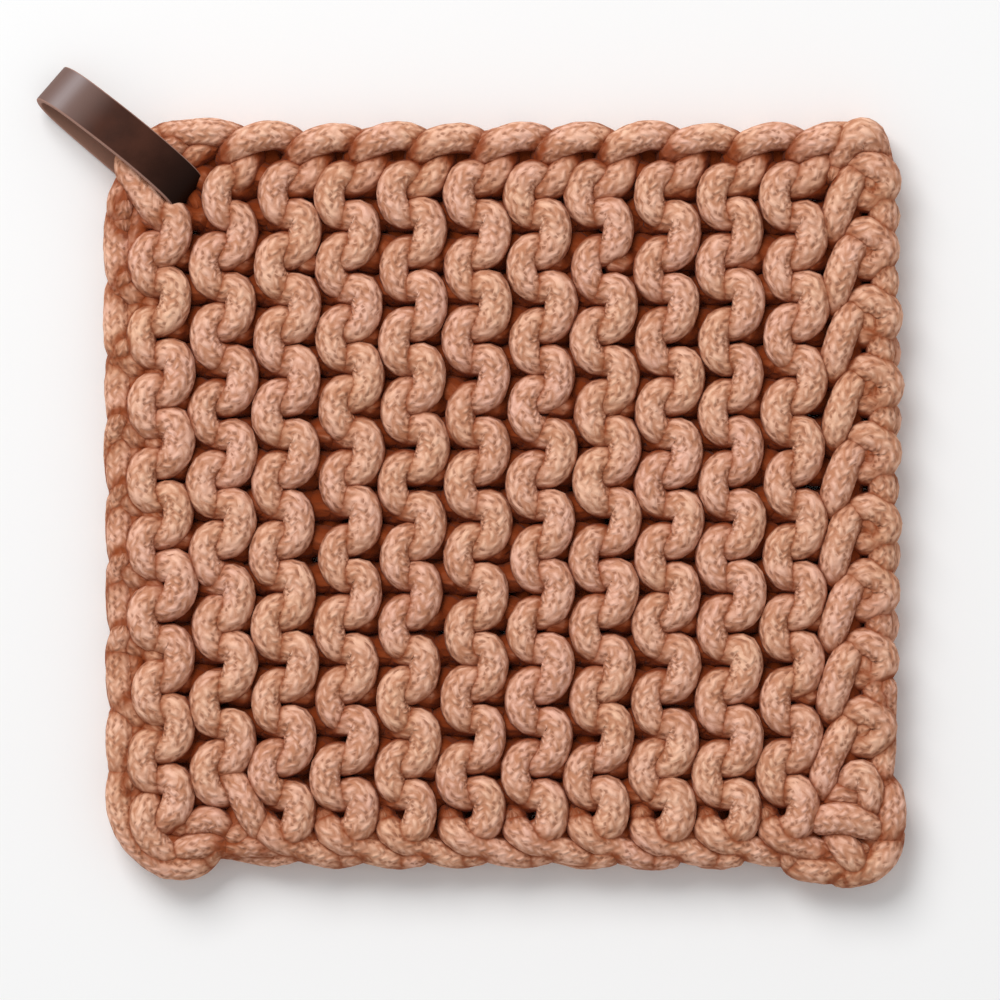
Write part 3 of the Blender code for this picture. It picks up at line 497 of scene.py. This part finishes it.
def strayed(points, generator, amount):
    """A loop's points, all moved, tilted and swollen by one small random share."""
    draws = generator.normal(0.0, 1.0, 5).clip(-STRAY_MOST, STRAY_MOST)
    across, up, rise, swell, tilt = draws
    middle = np.mean(np.array(points), axis=0)
    lean = tilt * amount * TILT
    return [(x + across * amount - (y - middle[1]) * lean, y + up * amount + (x - middle[0]) * lean,
             z + rise * amount * RISE_SHARE, size * (1 + swell * SWELL)) for x, y, z, size in points]


def laid(shape, across, up, facing):
    """A loop's rope set down on the front (facing 1) or the back (facing -1)."""
    radius = bpy.context.scene.rope_settings.radius / MM
    centre = THICKNESS - radius if facing > 0 else radius
    return [(across + x, up + y, centre + facing * rise, size) for x, y, rise, size in shape]


def loop_points(shape, column, middle, facing):
    """One loop of a column; a back loop lies half a column to the right of its front ones."""
    edge = column_edge(column, middle) + (0.0 if facing > 0 else COLUMN_PITCH / 2)
    return laid(shape, edge, middle, facing)


def last_loop(shape, middle, facing):
    """One loop of the last column, as far across on the back as on the front."""
    return laid(shape, column_edge(LAST_COLUMN, middle), middle, facing)


def odd_moved(points, column, row, is_left):
    """A loop's points, moved where that loop lies out of its row."""
    across, up, rise = ODD_LOOPS.get((column, row, is_left), (0.0, 0.0, 0.0))
    return [(x + across, y + up, z + rise, size) for x, y, z, size in points]


def course_points(column, opens_right, generator):
    """One course's rope from top to bottom, through the fabric and back at each stitch."""
    amount = bpy.context.scene.rope_settings.unevenness / MM
    points = []
    pitch = STITCH_PITCH if column else FIRST_COLUMN_PITCH
    for row in range(RIGHT_LOOPS):
        right_middle = FIRST_RIGHT_LOOP - row * pitch
        left_middle = FIRST_LEFT_LOOP - row * pitch
        if opens_right:
            right = loop_points(RIGHT_LOOP, column, right_middle, -1)
            left = odd_moved(loop_points(LEFT_LOOP, column, left_middle, 1), column, row, True)
        else:
            right = loop_points(RIGHT_LOOP if row else TOP_RIGHT_LOOP, column, right_middle, 1)
            right = odd_moved(right, column, row, False)
            if column:
                left = loop_points(LEFT_LOOP, column - 1, left_middle, -1)
            else:
                left = laid(LEFT_LOOP, column_edge(0, left_middle) + FIRST_BACK_SHIFT, left_middle, -1)
        points += strayed(right, generator, amount)
        if row < LEFT_LOOPS:
            points += strayed(left, generator, amount)
    return points


def new_piece(name, shell):
    """A smooth object in the scene, made of a finished shell."""
    mesh = bpy.data.meshes.new(name)
    shell.to_mesh(mesh)
    shell.free()
    mesh.shade_smooth()
    piece = bpy.data.objects.new(name, mesh)
    bpy.context.scene.collection.objects.link(piece)
    return piece


def rope_piece(name, ropes):
    """One object of several ropes, with its wrap as a UV map."""
    shell = bmesh.new()
    wrap = shell.loops.layers.uv.new("wrap")
    along = shell.verts.layers.float.new("along")
    number = shell.verts.layers.int.new("rope")
    for rope in ropes:
        rope.sweep(shell, (along, number, wrap))
    bmesh.ops.holes_fill(shell, edges=[edge for edge in shell.edges if edge.is_boundary],
                         sides=ROPE_SIDES)
    bmesh.ops.recalc_face_normals(shell, faces=shell.faces)
    return new_piece(name, shell)


def point_values(mesh, name, kind=np.float32):
    """A point attribute's values as an array."""
    values = np.zeros(len(mesh.vertices), kind)
    mesh.attributes[name].data.foreach_get("value", values)
    return values


def point_vectors(mesh, key):
    """The places or the normals of a mesh's points, a row for each."""
    values = np.zeros(len(mesh.vertices) * 3, np.float32)
    mesh.vertices.foreach_get(key, values)
    return values.reshape(-1, 3)


def finish_rope_piece(piece):
    """The crevice mask of painted shade, soft lumps, the cotton and the piece's place in the frame."""
    mesh = piece.data
    places = point_vectors(mesh, "co") / MM
    mark_crevices(mesh, places)
    lumps = np.array([noise.noise(Vector(place) * LUMP_PITCH) for place in places], np.float32)
    most = bpy.context.scene.rope_settings.lumps
    places += point_vectors(mesh, "normal") * lumps[:, None] * most / MM
    places[:, 2] = np.maximum(places[:, 2], 0.0)
    mesh.vertices.foreach_set("co", (places * MM).astype(np.float32).ravel())
    mesh.update()
    mesh.materials.append(cotton_material())
    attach(piece, BODY)
    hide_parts("rope_fabric")


def mark_crevices(mesh, places):
    """Stores how much painted shade each point gets: 0 on open rope, CREASE_MOST where ropes touch,
    more in gaps, and some on the ropes' sides.
    """
    own = point_values(mesh, "rope", np.int32)
    along = point_values(mesh, "along")
    others = [rope for rope in Rope.made if not rope.inside]
    other_places = np.array([tuple(place) for rope in others for place in rope.path])
    other_radii = np.concatenate([rope.radii for rope in others])
    other_along = np.concatenate([rope.lengths for rope in others])
    other_number = np.concatenate([[rope.number] * len(rope.path) for rope in others])
    gap = np.full(len(places), CREASE_REACH)
    cells = np.floor(places[:, :2] / CREASE_CELL).astype(int)
    for cell in np.unique(cells, axis=0):
        mine = np.flatnonzero((cells == cell).all(axis=1))
        middle = (cell + 0.5) * CREASE_CELL
        near = np.abs(other_places[:, :2] - middle).max(axis=1) < CREASE_CELL / 2 + CREASE_REACH
        near = np.flatnonzero(near)
        offset = places[mine][:, None, :] - other_places[near][None, :, :]
        distance = np.sqrt((offset ** 2).sum(axis=2)) - other_radii[near][None, :]
        same = own[mine][:, None] == other_number[near][None, :]
        same &= np.abs(along[mine][:, None] - other_along[near][None, :]) < SAME_STRETCH
        distance[same] = CREASE_REACH
        gap[mine] = np.minimum(distance.min(axis=1), CREASE_REACH)
    # Painted shade where ropes touch, deep in the gaps near the middle layer, and on the ropes' sides.
    crease = CREASE_MOST * np.exp(-np.maximum(gap, 0.0) / CREASE_FALL)
    height = np.abs(places[:, 2] - MIDDLE)
    core = (CORE_CLEAR - height) / (CORE_CLEAR - CORE_DARK)
    side = (MIDDLE - height) / MIDDLE * SIDE_SHADE
    inset = (np.array(OUTLINE_HALF) - np.abs(places[:, :2])).min(axis=1)
    inland = ((inset - INLAND[0]) / (INLAND[1] - INLAND[0])).clip(0, 1)
    mask = np.maximum(crease, np.maximum(core, side) * inland).clip(0, CORE_MOST)
    layer = mesh.attributes.new("crevice_shade", "FLOAT", "POINT")
    layer.data.foreach_set("value", mask.astype(np.float32))


def new_group(name, inputs, outputs):
    """An empty shader group with named sockets."""
    group = bpy.data.node_groups.new(name, "ShaderNodeTree")
    for title, kind, default in inputs:
        made = group.interface.new_socket(name=title, in_out="INPUT", socket_type=kind)
        if default is not None:
            made.default_value = default
    for title, kind in outputs:
        group.interface.new_socket(name=title, in_out="OUTPUT", socket_type=kind)
    return group


class Wiring:
    """Short calls that add and join shader nodes in one tree."""

    def __init__(self, tree):
        self.tree = tree

    def add(self, kind, **settings):
        """A node with some of its own settings."""
        node = self.tree.nodes.new(kind)
        for key, value in settings.items():
            setattr(node, key, value)
        return node

    def join(self, value, socket):
        """Sets a socket to a number, or joins it to another socket."""
        if isinstance(value, bpy.types.NodeSocket):
            self.tree.links.new(value, socket)
        else:
            socket.default_value = value

    def math(self, operation, *values):
        """A math node's result."""
        node = self.add("ShaderNodeMath", operation=operation)
        for value, socket in zip(values, node.inputs):
            self.join(value, socket)
        return node.outputs[0]

    def mix(self, share, first, second):
        """A number between two, by a share."""
        node = self.add("ShaderNodeMix", data_type="FLOAT")
        for value, socket in zip((share, first, second), node.inputs[:1] + node.inputs[2:4]):
            self.join(value, socket)
        return node.outputs[0]

    def colours(self, share, first, second, blend="MIX"):
        """A colour between two, by a share."""
        node = self.add("ShaderNodeMix", data_type="RGBA", blend_type=blend)
        self.join(share, node.inputs[0])
        self.join(first, node.inputs[6])
        self.join(second, node.inputs[7])
        return node.outputs[2]

    def span(self, value, low, high, new_low=0.0, new_high=1.0, kind="SMOOTHSTEP"):
        """A number mapped from one span to another."""
        node = self.add("ShaderNodeMapRange", interpolation_type=kind)
        for given, socket in zip((value, low, high, new_low, new_high), node.inputs):
            self.join(given, socket)
        return node.outputs[0]

    def noise(self, vector, scale, detail=2.0, roughness=0.5):
        """A noise texture's value."""
        node = self.add("ShaderNodeTexNoise")
        self.join(vector, node.inputs["Vector"])
        self.join(scale, node.inputs["Scale"])
        self.join(detail, node.inputs["Detail"])
        self.join(roughness, node.inputs["Roughness"])
        return node.outputs[0]

    def swing(self, value, levels, most):
        """A number that swings between minus most and most over a span of levels."""
        return self.span(value, *levels, -most, most, kind="LINEAR")

    def bump(self, height, distance, strength=1.0):
        """A normal bent by a relief of so many millimetres."""
        node = self.add("ShaderNodeBump")
        self.join(strength, node.inputs["Strength"])
        self.join(distance * MM, node.inputs["Distance"])
        self.join(height, node.inputs["Height"])
        return node.outputs[0]

    def group(self, tree, **values):
        """A group's outputs, with its inputs set or joined."""
        node = self.add("ShaderNodeGroup", node_tree=tree)
        for title, value in values.items():
            self.join(value, node.inputs[title])
        return node.outputs

    def vector(self, x, y, z):
        """Three numbers as a vector."""
        node = self.add("ShaderNodeCombineXYZ")
        for value, socket in zip((x, y, z), node.inputs):
            self.join(value, socket)
        return node.outputs[0]


def braid_group():
    """Relief and strand values of a round braid, from a UV map counted in girths.

    Each strand passes over two strands of the other hand, and then under two.
    """
    found = bpy.data.node_groups.get("round_braid")
    if found:
        return found
    group = new_group("round_braid",
                      [("Wrap", "NodeSocketVector", None), ("Place", "NodeSocketVector", None),
                       ("Strands", "NodeSocketFloat", 12.0), ("Slope", "NodeSocketFloat", 0.9),
                       ("Stray", "NodeSocketFloat", 0.8)],
                      [("Height", "NodeSocketFloat"), ("Pit", "NodeSocketFloat"),
                       ("Strand Value", "NodeSocketFloat"), ("Fibre", "NodeSocketFloat")])
    w = Wiring(group)
    given = w.add("NodeGroupInput").outputs
    split = w.add("ShaderNodeSeparateXYZ")
    w.join(given["Wrap"], split.inputs[0])
    turn, length = split.outputs[0], split.outputs[1]
    climb = w.math("MULTIPLY", length, given["Slope"])
    counts, parts = [], []
    for direction, offset in (("ADD", (0.0, 0.0, 0.0)), ("SUBTRACT", OTHER_HAND_OFFSET)):
        moved = w.add("ShaderNodeVectorMath", operation="ADD")
        w.join(given["Place"], moved.inputs[0])
        moved.inputs[1].default_value = offset
        stray = w.math("SUBTRACT", w.noise(moved.outputs[0], BRAID_WANDER), 0.5)
        lane = w.math("MULTIPLY", w.math(direction, turn, climb), given["Strands"])
        lane = w.math("ADD", lane, w.math("MULTIPLY", stray, given["Stray"]))
        counts.append(w.math("FLOOR", lane))
        parts.append(w.math("FRACT", lane))
    repeats = w.math("MULTIPLY", w.math("ADD", *counts), 1 / CROSSINGS)
    step = w.math("FRACT", repeats)
    left_on_top = w.math("GREATER_THAN", step, 0.4)
    half = w.math("FRACT", w.math("MULTIPLY", step, 2.0))
    across = w.mix(left_on_top, *parts)
    onward = w.mix(left_on_top, parts[1], parts[0])
    onward = w.math("ADD", half, w.math("MULTIPLY", onward, 0.5))
    count = w.mix(left_on_top, *counts)
    bar, arch = (w.math("POWER", w.math("SINE", w.math("MULTIPLY", value, math.pi)), 2.0)
                 for value in (across, onward))
    open_valley = w.span(w.noise(given["Place"], BRAID_WEAR, detail=1.0), *WEAR_LEVELS)
    valley = w.math("SUBTRACT", 1.0, w.math("MULTIPLY", bar, arch))
    height = w.math("SUBTRACT", 1.0, w.math("MULTIPLY", valley, open_valley))
    open_pit = w.span(w.noise(given["Place"], BRAID_PITS, detail=0.0), *PIT_LEVELS)
    pit = w.math("MULTIPLY", w.span(arch, *PIT_ARCH), w.span(bar, *PIT_BAR))
    pit = w.math("MULTIPLY", pit, w.math("ADD", w.math("MULTIPLY", open_pit, 0.9), 0.1))
    count = w.math("ADD", count, w.math("MULTIPLY", given["Strands"], SPARE_TURNS))
    strand = w.math("MODULO", count, given["Strands"])
    grain = w.add("ShaderNodeTexWhiteNoise")
    w.join(w.vector(strand, left_on_top, w.math("FLOOR", repeats)), grain.inputs["Vector"])
    fibre = w.noise(given["Place"], BRAID_FIBRES, detail=2.5, roughness=0.65)
    out = w.add("NodeGroupOutput").inputs
    w.join(height, out["Height"])
    w.join(pit, out["Pit"])
    w.join(grain.outputs[0], out["Strand Value"])
    w.join(fibre, out["Fibre"])
    return group


def patches_group():
    """Slow changes of colour over a dyed or worn surface, as a mask of 0 to 1."""
    found = bpy.data.node_groups.get("colour_patches")
    if found:
        return found
    group = new_group("colour_patches",
                      [("Place", "NodeSocketVector", None), ("Scale", "NodeSocketFloat", 60.0)],
                      [("Mask", "NodeSocketFloat")])
    w = Wiring(group)
    given = w.add("NodeGroupInput").outputs
    value = w.noise(given["Place"], given["Scale"], detail=3.0, roughness=0.55)
    w.join(w.span(value, *NOISE_LEVELS), w.add("NodeGroupOutput").inputs["Mask"])
    return group


def new_material(name):
    """A material, its wiring, its Principled shader and its object coordinates."""
    made = bpy.data.materials.new(name)
    made.use_nodes = True
    shader = made.node_tree.nodes["Principled BSDF"]
    wiring = Wiring(made.node_tree)
    place = wiring.add("ShaderNodeTexCoord").outputs["Object"]
    return made, wiring, shader, place


def tinted(colour, tint):
    """A colour multiplied by a tint, as four numbers."""
    return (*(value * share for value, share in zip(colour, tint)), 1.0)


def cotton_material():
    """Dyed braided cotton: strands and pits of the braid, with painted shade in the braid's valleys
    and pits, where ropes touch, in the gaps and on the ropes' sides.
    """
    found = bpy.data.materials.get("cotton_rope_braid")
    if found:
        return found
    settings = bpy.context.scene.rope_settings
    made, w, shader, place = new_material("cotton_rope_braid")
    wrap = w.add("ShaderNodeUVMap", uv_map="wrap").outputs[0]
    braid = w.group(braid_group(), Wrap=wrap, Place=place)
    crevice_shade = w.add("ShaderNodeAttribute", attribute_name="crevice_shade").outputs["Fac"]
    patch = w.group(patches_group(), Place=place, Scale=COTTON_PATCHES)["Mask"]
    base, shaded = tuple(settings.colour), tuple(settings.shaded_colour)
    dyed = w.colours(patch, tinted(base, WARM_TINT), tinted(base, PINK_TINT))
    fibre = w.swing(braid["Fibre"], NOISE_LEVELS, FIBRE_SWING)
    strand = w.swing(braid["Strand Value"], (0.0, 1.0), STRAND_SWING)
    mottle = w.swing(w.noise(place, COTTON_MOTTLE, detail=1.0), NOISE_LEVELS, MOTTLE_SWING)
    # The braid's height paints shade into the valleys between yarns; the fibre, strand and mottle
    # swings are tone that differs at random.
    level = w.math("ADD", w.math("ADD", braid["Height"], mottle), w.math("ADD", fibre, strand))
    toned = w.colours(w.span(level, *TONE_LEVELS), (*shaded, 1.0), dyed)
    # Painted shade in the pits where a strand dips under the others.
    pit_shade = w.math("MULTIPLY", braid["Pit"], PIT_MOST)
    pit_shaded = w.colours(pit_shade, toned, tinted(shaded, PIT_SHADE_TINT))
    # Painted shade in creases and on the ropes' sides dims the cotton towards the shaded colour.
    dim_shade_tint = tuple((dark / light) ** DIM_POWER for dark, light in zip(shaded, base))
    half_shaded = w.colours(w.span(crevice_shade, *DIM_LEVELS), pit_shaded, (*dim_shade_tint, 1.0), blend="MULTIPLY")
    # Deeper painted shade where ropes touch, darkest at the bottom of the gaps.
    deep = (*settings.crevice_shade_colour, 1.0)
    crease_shaded = w.colours(w.span(crevice_shade, *DEEP_LEVELS), half_shaded, deep)
    gap_shade = w.span(crevice_shade, CREASE_MOST, GAP_DARKEST)
    w.join(w.colours(gap_shade, crease_shaded, tinted(deep, GAP_SHADE_TINT)), shader.inputs["Base Color"])
    relief = w.math("ADD", braid["Height"], w.math("MULTIPLY", braid["Fibre"], FIBRE_SHARE))
    relief = w.math("SUBTRACT", relief, w.math("MULTIPLY", braid["Pit"], PIT_SHARE))
    w.join(w.bump(relief, BRAID_RELIEF), shader.inputs["Normal"])
    for title, value in COTTON_FINISH:
        shader.inputs[title].default_value = value
    return made


def leather_material():
    """Dyed leather: fine grain with a soft sheen, paler cut edges, painted highlights at the bend and
    painted shade towards the hole.
    """
    found = bpy.data.materials.get("brown_strap_leather")
    if found:
        return found
    settings = bpy.context.scene.leather_settings
    made, w, shader, place = new_material("brown_strap_leather")
    cut, flesh, bend_highlight, band, dark = (
        w.add("ShaderNodeAttribute", attribute_name=name).outputs["Fac"] for name in LEATHER_MARKS)
    patch = w.group(patches_group(), Place=place, Scale=LEATHER_PATCHES)["Mask"]
    base = tuple(settings.colour)
    grain_side = w.colours(patch, tinted(base, DULL_TINT), tinted(base, BRIGHT_TINT))
    # Painted shade where the strap dips into the hole.
    grain_side = w.colours(dark, grain_side, tinted(base, HOLE_SHADE_TINT))
    # Painted highlight where the bend faces the light.
    grain_side = w.colours(bend_highlight, grain_side, (*settings.bend_highlight_colour, 1.0))
    # Painted highlight band across the bend.
    band = w.math("MULTIPLY", band, LEATHER_HIGHLIGHT_BAND_SHARE)
    grain_side = w.colours(band, grain_side, (*settings.highlight_band_colour, 1.0))
    both_sides = w.colours(flesh, grain_side, (*settings.flesh_colour, 1.0))
    fine = w.noise(place, LEATHER_GRAIN)
    cut_tone = w.span(fine, *NOISE_LEVELS, 0.75, 1.0, kind="LINEAR")
    w.join(w.colours(w.math("MULTIPLY", cut, cut_tone), both_sides, (*settings.edge_colour, 1.0)),
           shader.inputs["Base Color"])
    pores = w.add("ShaderNodeTexVoronoi", feature="DISTANCE_TO_EDGE")
    w.join(place, pores.inputs["Vector"])
    pores.inputs["Scale"].default_value = LEATHER_PORES
    pebbles = w.span(pores.outputs[0], 0.0, 0.25)
    relief = w.math("ADD", pebbles, w.math("MULTIPLY", fine, 0.5))
    w.join(w.bump(relief, LEATHER_RELIEF, strength=0.35), shader.inputs["Normal"])
    smooth = w.span(patch, 0.0, 1.0, 0.38, 0.48, kind="LINEAR")
    w.join(w.mix(w.math("MAXIMUM", cut, flesh), smooth, 0.85), shader.inputs["Roughness"])
    shader.inputs["Specular IOR Level"].default_value = 0.05
    return made


def leather_place(outward, height):
    """Middle of the strap, and its width direction, at a place on its side profile."""
    shift = (height - LEATHER_TOP_HEIGHT) * LEATHER_LEAN
    across = Vector((LEATHER_OUTWARD[1], -LEATHER_OUTWARD[0], 0.0))
    middle = Vector((*LEATHER_HOLE, height)) + across * shift
    middle += Vector((*LEATHER_OUTWARD, 0.0)) * outward
    roll = LEATHER_ROLL * height / LEATHER_TOP_HEIGHT
    return middle, across * math.cos(roll) - Vector((0.0, 0.0, math.sin(roll)))


def eased(value, span):
    """0 before a span, 1 after it, and a smooth rise between."""
    share = min(max((value - span[0]) / (span[1] - span[0]), 0.0), 1.0)
    return share * share * (3 - 2 * share)


def strap_section(width, thickness):
    """Points round the strap's cross-section with rounded edges, as side and face distances."""
    half_width, half_thickness = width / 2, thickness / 2
    points = []
    for turn, (side, face) in enumerate(((1, 1), (-1, 1), (-1, -1), (1, -1))):
        for share in (0.0, 0.5, 1.0):
            angle = math.pi / 2 * (turn + share)
            points.append((side * (half_width - LEATHER_CORNER) + LEATHER_CORNER * math.cos(angle),
                           face * (half_thickness - LEATHER_CORNER)
                           + LEATHER_CORNER * math.sin(angle)))
        if side * face > 0:
            points += [(side * share * half_width, face * half_thickness)
                       for share in LEATHER_SHARES]
    return points


def strap_station(run, index):
    """Middle, width direction and inward normal of the strap at one point of its run."""
    ahead = (run[(index + 1) % len(run)] - run[index - 1]).normalized()
    middle, across = leather_place(run[index].x, run[index].y)
    along = Vector((*LEATHER_OUTWARD, 0.0)) * ahead.x + Vector((0.0, 0.0, ahead.y))
    return middle, across, along.cross(across).normalized()


# Names of the rope pieces, each with its ropes, as the first two operators lay them.
LAYOUT = []


class POTHOLDER_OT_columns(bpy.types.Operator):
    """Lay the twelve columns of rope loops on both faces"""

    bl_idname = "potholder.columns"
    bl_label = "Rope columns"

    def execute(self, context):
        generator = np.random.default_rng(SEED)
        for column in range(LAST_COLUMN):
            ropes = [Rope(course_points(column, opens_right, generator))
                     for opens_right in (True, False)]
            LAYOUT.append((f"rope_column_{column + 1:02d}", ropes))
        loops = [last_loop(LAST_LEFT_LOOP, FIRST_LAST_LEFT - row * LAST_STITCH_PITCH, 1)
                 for row in range(LAST_LEFT_LOOPS)]
        for row in range(LAST_RIGHT_LOOPS):
            middle = FIRST_LAST_RIGHT - row * LAST_STITCH_PITCH
            loops.append(last_loop(LAST_RIGHT_LOOP, middle, 1))
            loops.append(last_loop(LAST_RIGHT_LOOP, middle - LAST_STITCH_PITCH / 2, -1))
        ropes = [Rope(strayed(loop, generator, LAST_STRAY)) for loop in loops]
        LAYOUT.append((f"rope_column_{LAST_COLUMN + 1:02d}", ropes))
        return {"FINISHED"}


class POTHOLDER_OT_borders(bpy.types.Operator):
    """Lay the four borders and the corner ropes"""

    bl_idname = "potholder.borders"
    bl_label = "Borders and corners"

    def execute(self, context):
        generator = np.random.default_rng(SEED + 1)
        borders = {"top": [], "bottom": [], "left": [], "right": []}

        def lay(side, loop):
            borders[side].append(strayed(loop, generator, LAST_STRAY))

        for facing in (1, -1):
            for column in range(1, LAST_COLUMN):
                edge = column_edge(column, COLUMN_HEIGHTS[0])
                lay("top", laid(TOP_BORDER_LOOP, edge, 0.0, facing))
                # On the front a rope of the lower left corner takes the first one's place.
                if column > 1 or facing < 0:
                    edge = column_edge(column, COLUMN_HEIGHTS[2])
                    lay("bottom", laid(BOTTOM_BORDER_LOOP, edge, 0.0, facing))
            for row in range(1, LEFT_LOOPS - 1):
                middle = FIRST_LEFT_LOOP - row * FIRST_COLUMN_PITCH
                lay("left", laid(LEFT_BORDER_LOOP, column_edge(0, middle), middle, facing))
            for row in range(LAST_RIGHT_LOOPS - 1):
                middle = FIRST_LAST_RIGHT - (row + 0.5) * LAST_STITCH_PITCH
                lay("right", last_loop(RIGHT_BORDER_LOOP, middle, facing))
        for side, loops in borders.items():
            LAYOUT.append((f"rope_{side}_border", [Rope(loop) for loop in loops]))
        corners = [Rope(rope, inside=True) for rope in HIDDEN_ROPES]
        for table in (UPPER_LEFT_ROPES, UPPER_RIGHT_ROPES, LOWER_LEFT_ROPES, LOWER_RIGHT_ROPES):
            for rope in table:
                corners.append(Rope(rope))
                corners.append(Rope([(x, y, THICKNESS - z, size) for x, y, z, size in rope]))
        LAYOUT.append(("rope_corners", corners))
        return {"FINISHED"}


class POTHOLDER_OT_rope_meshes(bpy.types.Operator):
    """Draw every rope that has been laid, and finish it in cotton"""

    bl_idname = "potholder.rope_meshes"
    bl_label = "Rope surfaces"

    def execute(self, context):
        for name, ropes in LAYOUT:
            finish_rope_piece(rope_piece(name, ropes))
        return {"FINISHED"}


class POTHOLDER_OT_strap(bpy.types.Operator):
    """Make the leather strap loop"""

    bl_idname = "potholder.strap"
    bl_label = "Leather strap"

    def execute(self, context):
        settings = context.scene.leather_settings
        section = strap_section(settings.width / MM, settings.thickness / MM)
        half_width = settings.width / MM / 2
        knots = [(outward, height, 0.0) for outward, height in LEATHER_PROFILE]
        run = smooth_path(knots, LEATHER_STEP, closed=True)
        stations = [strap_station(run, index) for index in range(len(run))]
        shell = bmesh.new()
        marks = [shell.verts.layers.float.new(name) for name in LEATHER_MARKS]
        verts = bmesh.ops.create_grid(shell, x_segments=len(section), y_segments=len(run),
                                      size=0.5)["verts"]
        for vert in verts:
            index = round((vert.co.y + 0.5) * len(run)) % len(run)
            side, face = section[round((vert.co.x + 0.5) * len(section)) % len(section)]
            middle, across, inward = stations[index]
            corner = middle + across * side + inward * face
            corner.z = max(corner.z, 0.0)
            vert.co = corner * MM
            outward = run[index].x
            # Marks: cut edge, inner side, painted highlight at the bend, painted highlight band,
            # painted shade towards the hole.
            values = (abs(side) > half_width - LEATHER_CORNER * EDGE_SHARE, face > 0,
                      eased(outward, LEATHER_BEND_HIGHLIGHT),
                      math.exp(-((outward - LEATHER_HIGHLIGHT_BAND) / LEATHER_HIGHLIGHT_BAND_WIDTH) ** 2),
                      eased(outward, LEATHER_HOLE_SHADE))
            for mark, value in zip(marks, values):
                vert[mark] = float(value)
        seams = {vert for edge in shell.edges if edge.is_boundary for vert in edge.verts}
        bmesh.ops.remove_doubles(shell, verts=list(seams), dist=WELD * MM)
        bmesh.ops.recalc_face_normals(shell, faces=shell.faces)
        piece = new_piece("leather_strap", shell)
        piece.data.materials.append(leather_material())
        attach(piece, BODY)
        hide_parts("leather_loop")
        return {"FINISHED"}


def add_key_lamp(power):
    """A square soft lamp that points at the middle of the pot holder."""
    lamp = bpy.data.lights.new("key_lamp", "AREA")
    lamp.shape = "SQUARE"
    lamp.size = LAMP_SIZE
    lamp.energy = power
    holder = bpy.data.objects.new("key_lamp", lamp)
    holder.location = LAMP_PLACE
    holder.rotation_euler = (-Vector(LAMP_PLACE)).to_track_quat("-Z", "Y").to_euler()
    bpy.context.scene.collection.objects.link(holder)


class POTHOLDER_OT_stage(bpy.types.Operator):
    """Set out the plain floor, the soft lamp, the white room and the camera overhead"""

    bl_idname = "potholder.stage"
    bl_label = "Stage"

    def execute(self, context):
        settings = context.scene.stage_settings
        shell = bmesh.new()
        bmesh.ops.create_grid(shell, x_segments=1, y_segments=1, size=FLOOR_HALF)
        floor = new_piece("floor", shell)
        paint = bpy.data.materials.new("floor_paint")
        paint.use_nodes = True
        shader = paint.node_tree.nodes["Principled BSDF"]
        shader.inputs["Base Color"].default_value = (*settings.floor_colour, 1.0)
        shader.inputs["Roughness"].default_value = 0.9
        floor.data.materials.append(paint)

        add_key_lamp(settings.key_power)

        world = bpy.data.worlds.new("white_room")
        world.use_nodes = True
        background = world.node_tree.nodes["Background"]
        background.inputs["Color"].default_value = (1.0, 1.0, 1.0, 1.0)
        background.inputs["Strength"].default_value = settings.sky_strength
        context.scene.world = world
        context.scene.view_settings.view_transform = "Standard"

        lens = bpy.data.cameras.new("overhead_camera")
        holder = bpy.data.objects.new("overhead_camera", lens)
        context.scene.collection.objects.link(holder)
        x, y = settings.view_centre
        holder.location = (x, y, settings.camera_height)
        reach = settings.camera_height - FABRIC_TOP * MM
        lens.lens = lens.sensor_width * reach / settings.view_width
        lens.clip_end = CAMERA_REACH
        context.scene.camera = holder
        return {"FINISHED"}


class POTHOLDER_PT_panel(bpy.types.Panel):
    """Lists the pot holder's steps and settings"""

    bl_idname = "POTHOLDER_PT_panel"
    bl_label = "Rope pot holder"
    bl_space_type = "VIEW_3D"
    bl_region_type = "UI"
    bl_category = "Pot holder"

    def draw(self, context):
        for kind in STEPS:
            self.layout.operator(kind.bl_idname)
        for name, kind in SETTINGS:
            box = self.layout.box()
            for key in kind.__annotations__:
                box.prop(getattr(context.scene, name), key)


SETTINGS = (("rope_settings", RopeSettings), ("leather_settings", LeatherSettings),
            ("stage_settings", StageSettings))
STEPS = (POTHOLDER_OT_columns, POTHOLDER_OT_borders, POTHOLDER_OT_rope_meshes,
         POTHOLDER_OT_strap, POTHOLDER_OT_stage)


def register():
    """Registers the settings, the operators and the panel."""
    for name, kind in SETTINGS:
        bpy.utils.register_class(kind)
        setattr(bpy.types.Scene, name, bpy.props.PointerProperty(type=kind))
    for kind in (*STEPS, POTHOLDER_PT_panel):
        bpy.utils.register_class(kind)


def unregister():
    """Takes away what register adds."""
    for kind in reversed((*STEPS, POTHOLDER_PT_panel)):
        bpy.utils.unregister_class(kind)
    for name, kind in reversed(SETTINGS):
        delattr(bpy.types.Scene, name)
        bpy.utils.unregister_class(kind)


def main():
    """Builds every piece in order."""
    register()
    bpy.ops.potholder.columns()
    bpy.ops.potholder.borders()
    bpy.ops.potholder.rope_meshes()
    bpy.ops.potholder.strap()
    bpy.ops.potholder.stage()


if __name__ == "__main__":
    main()
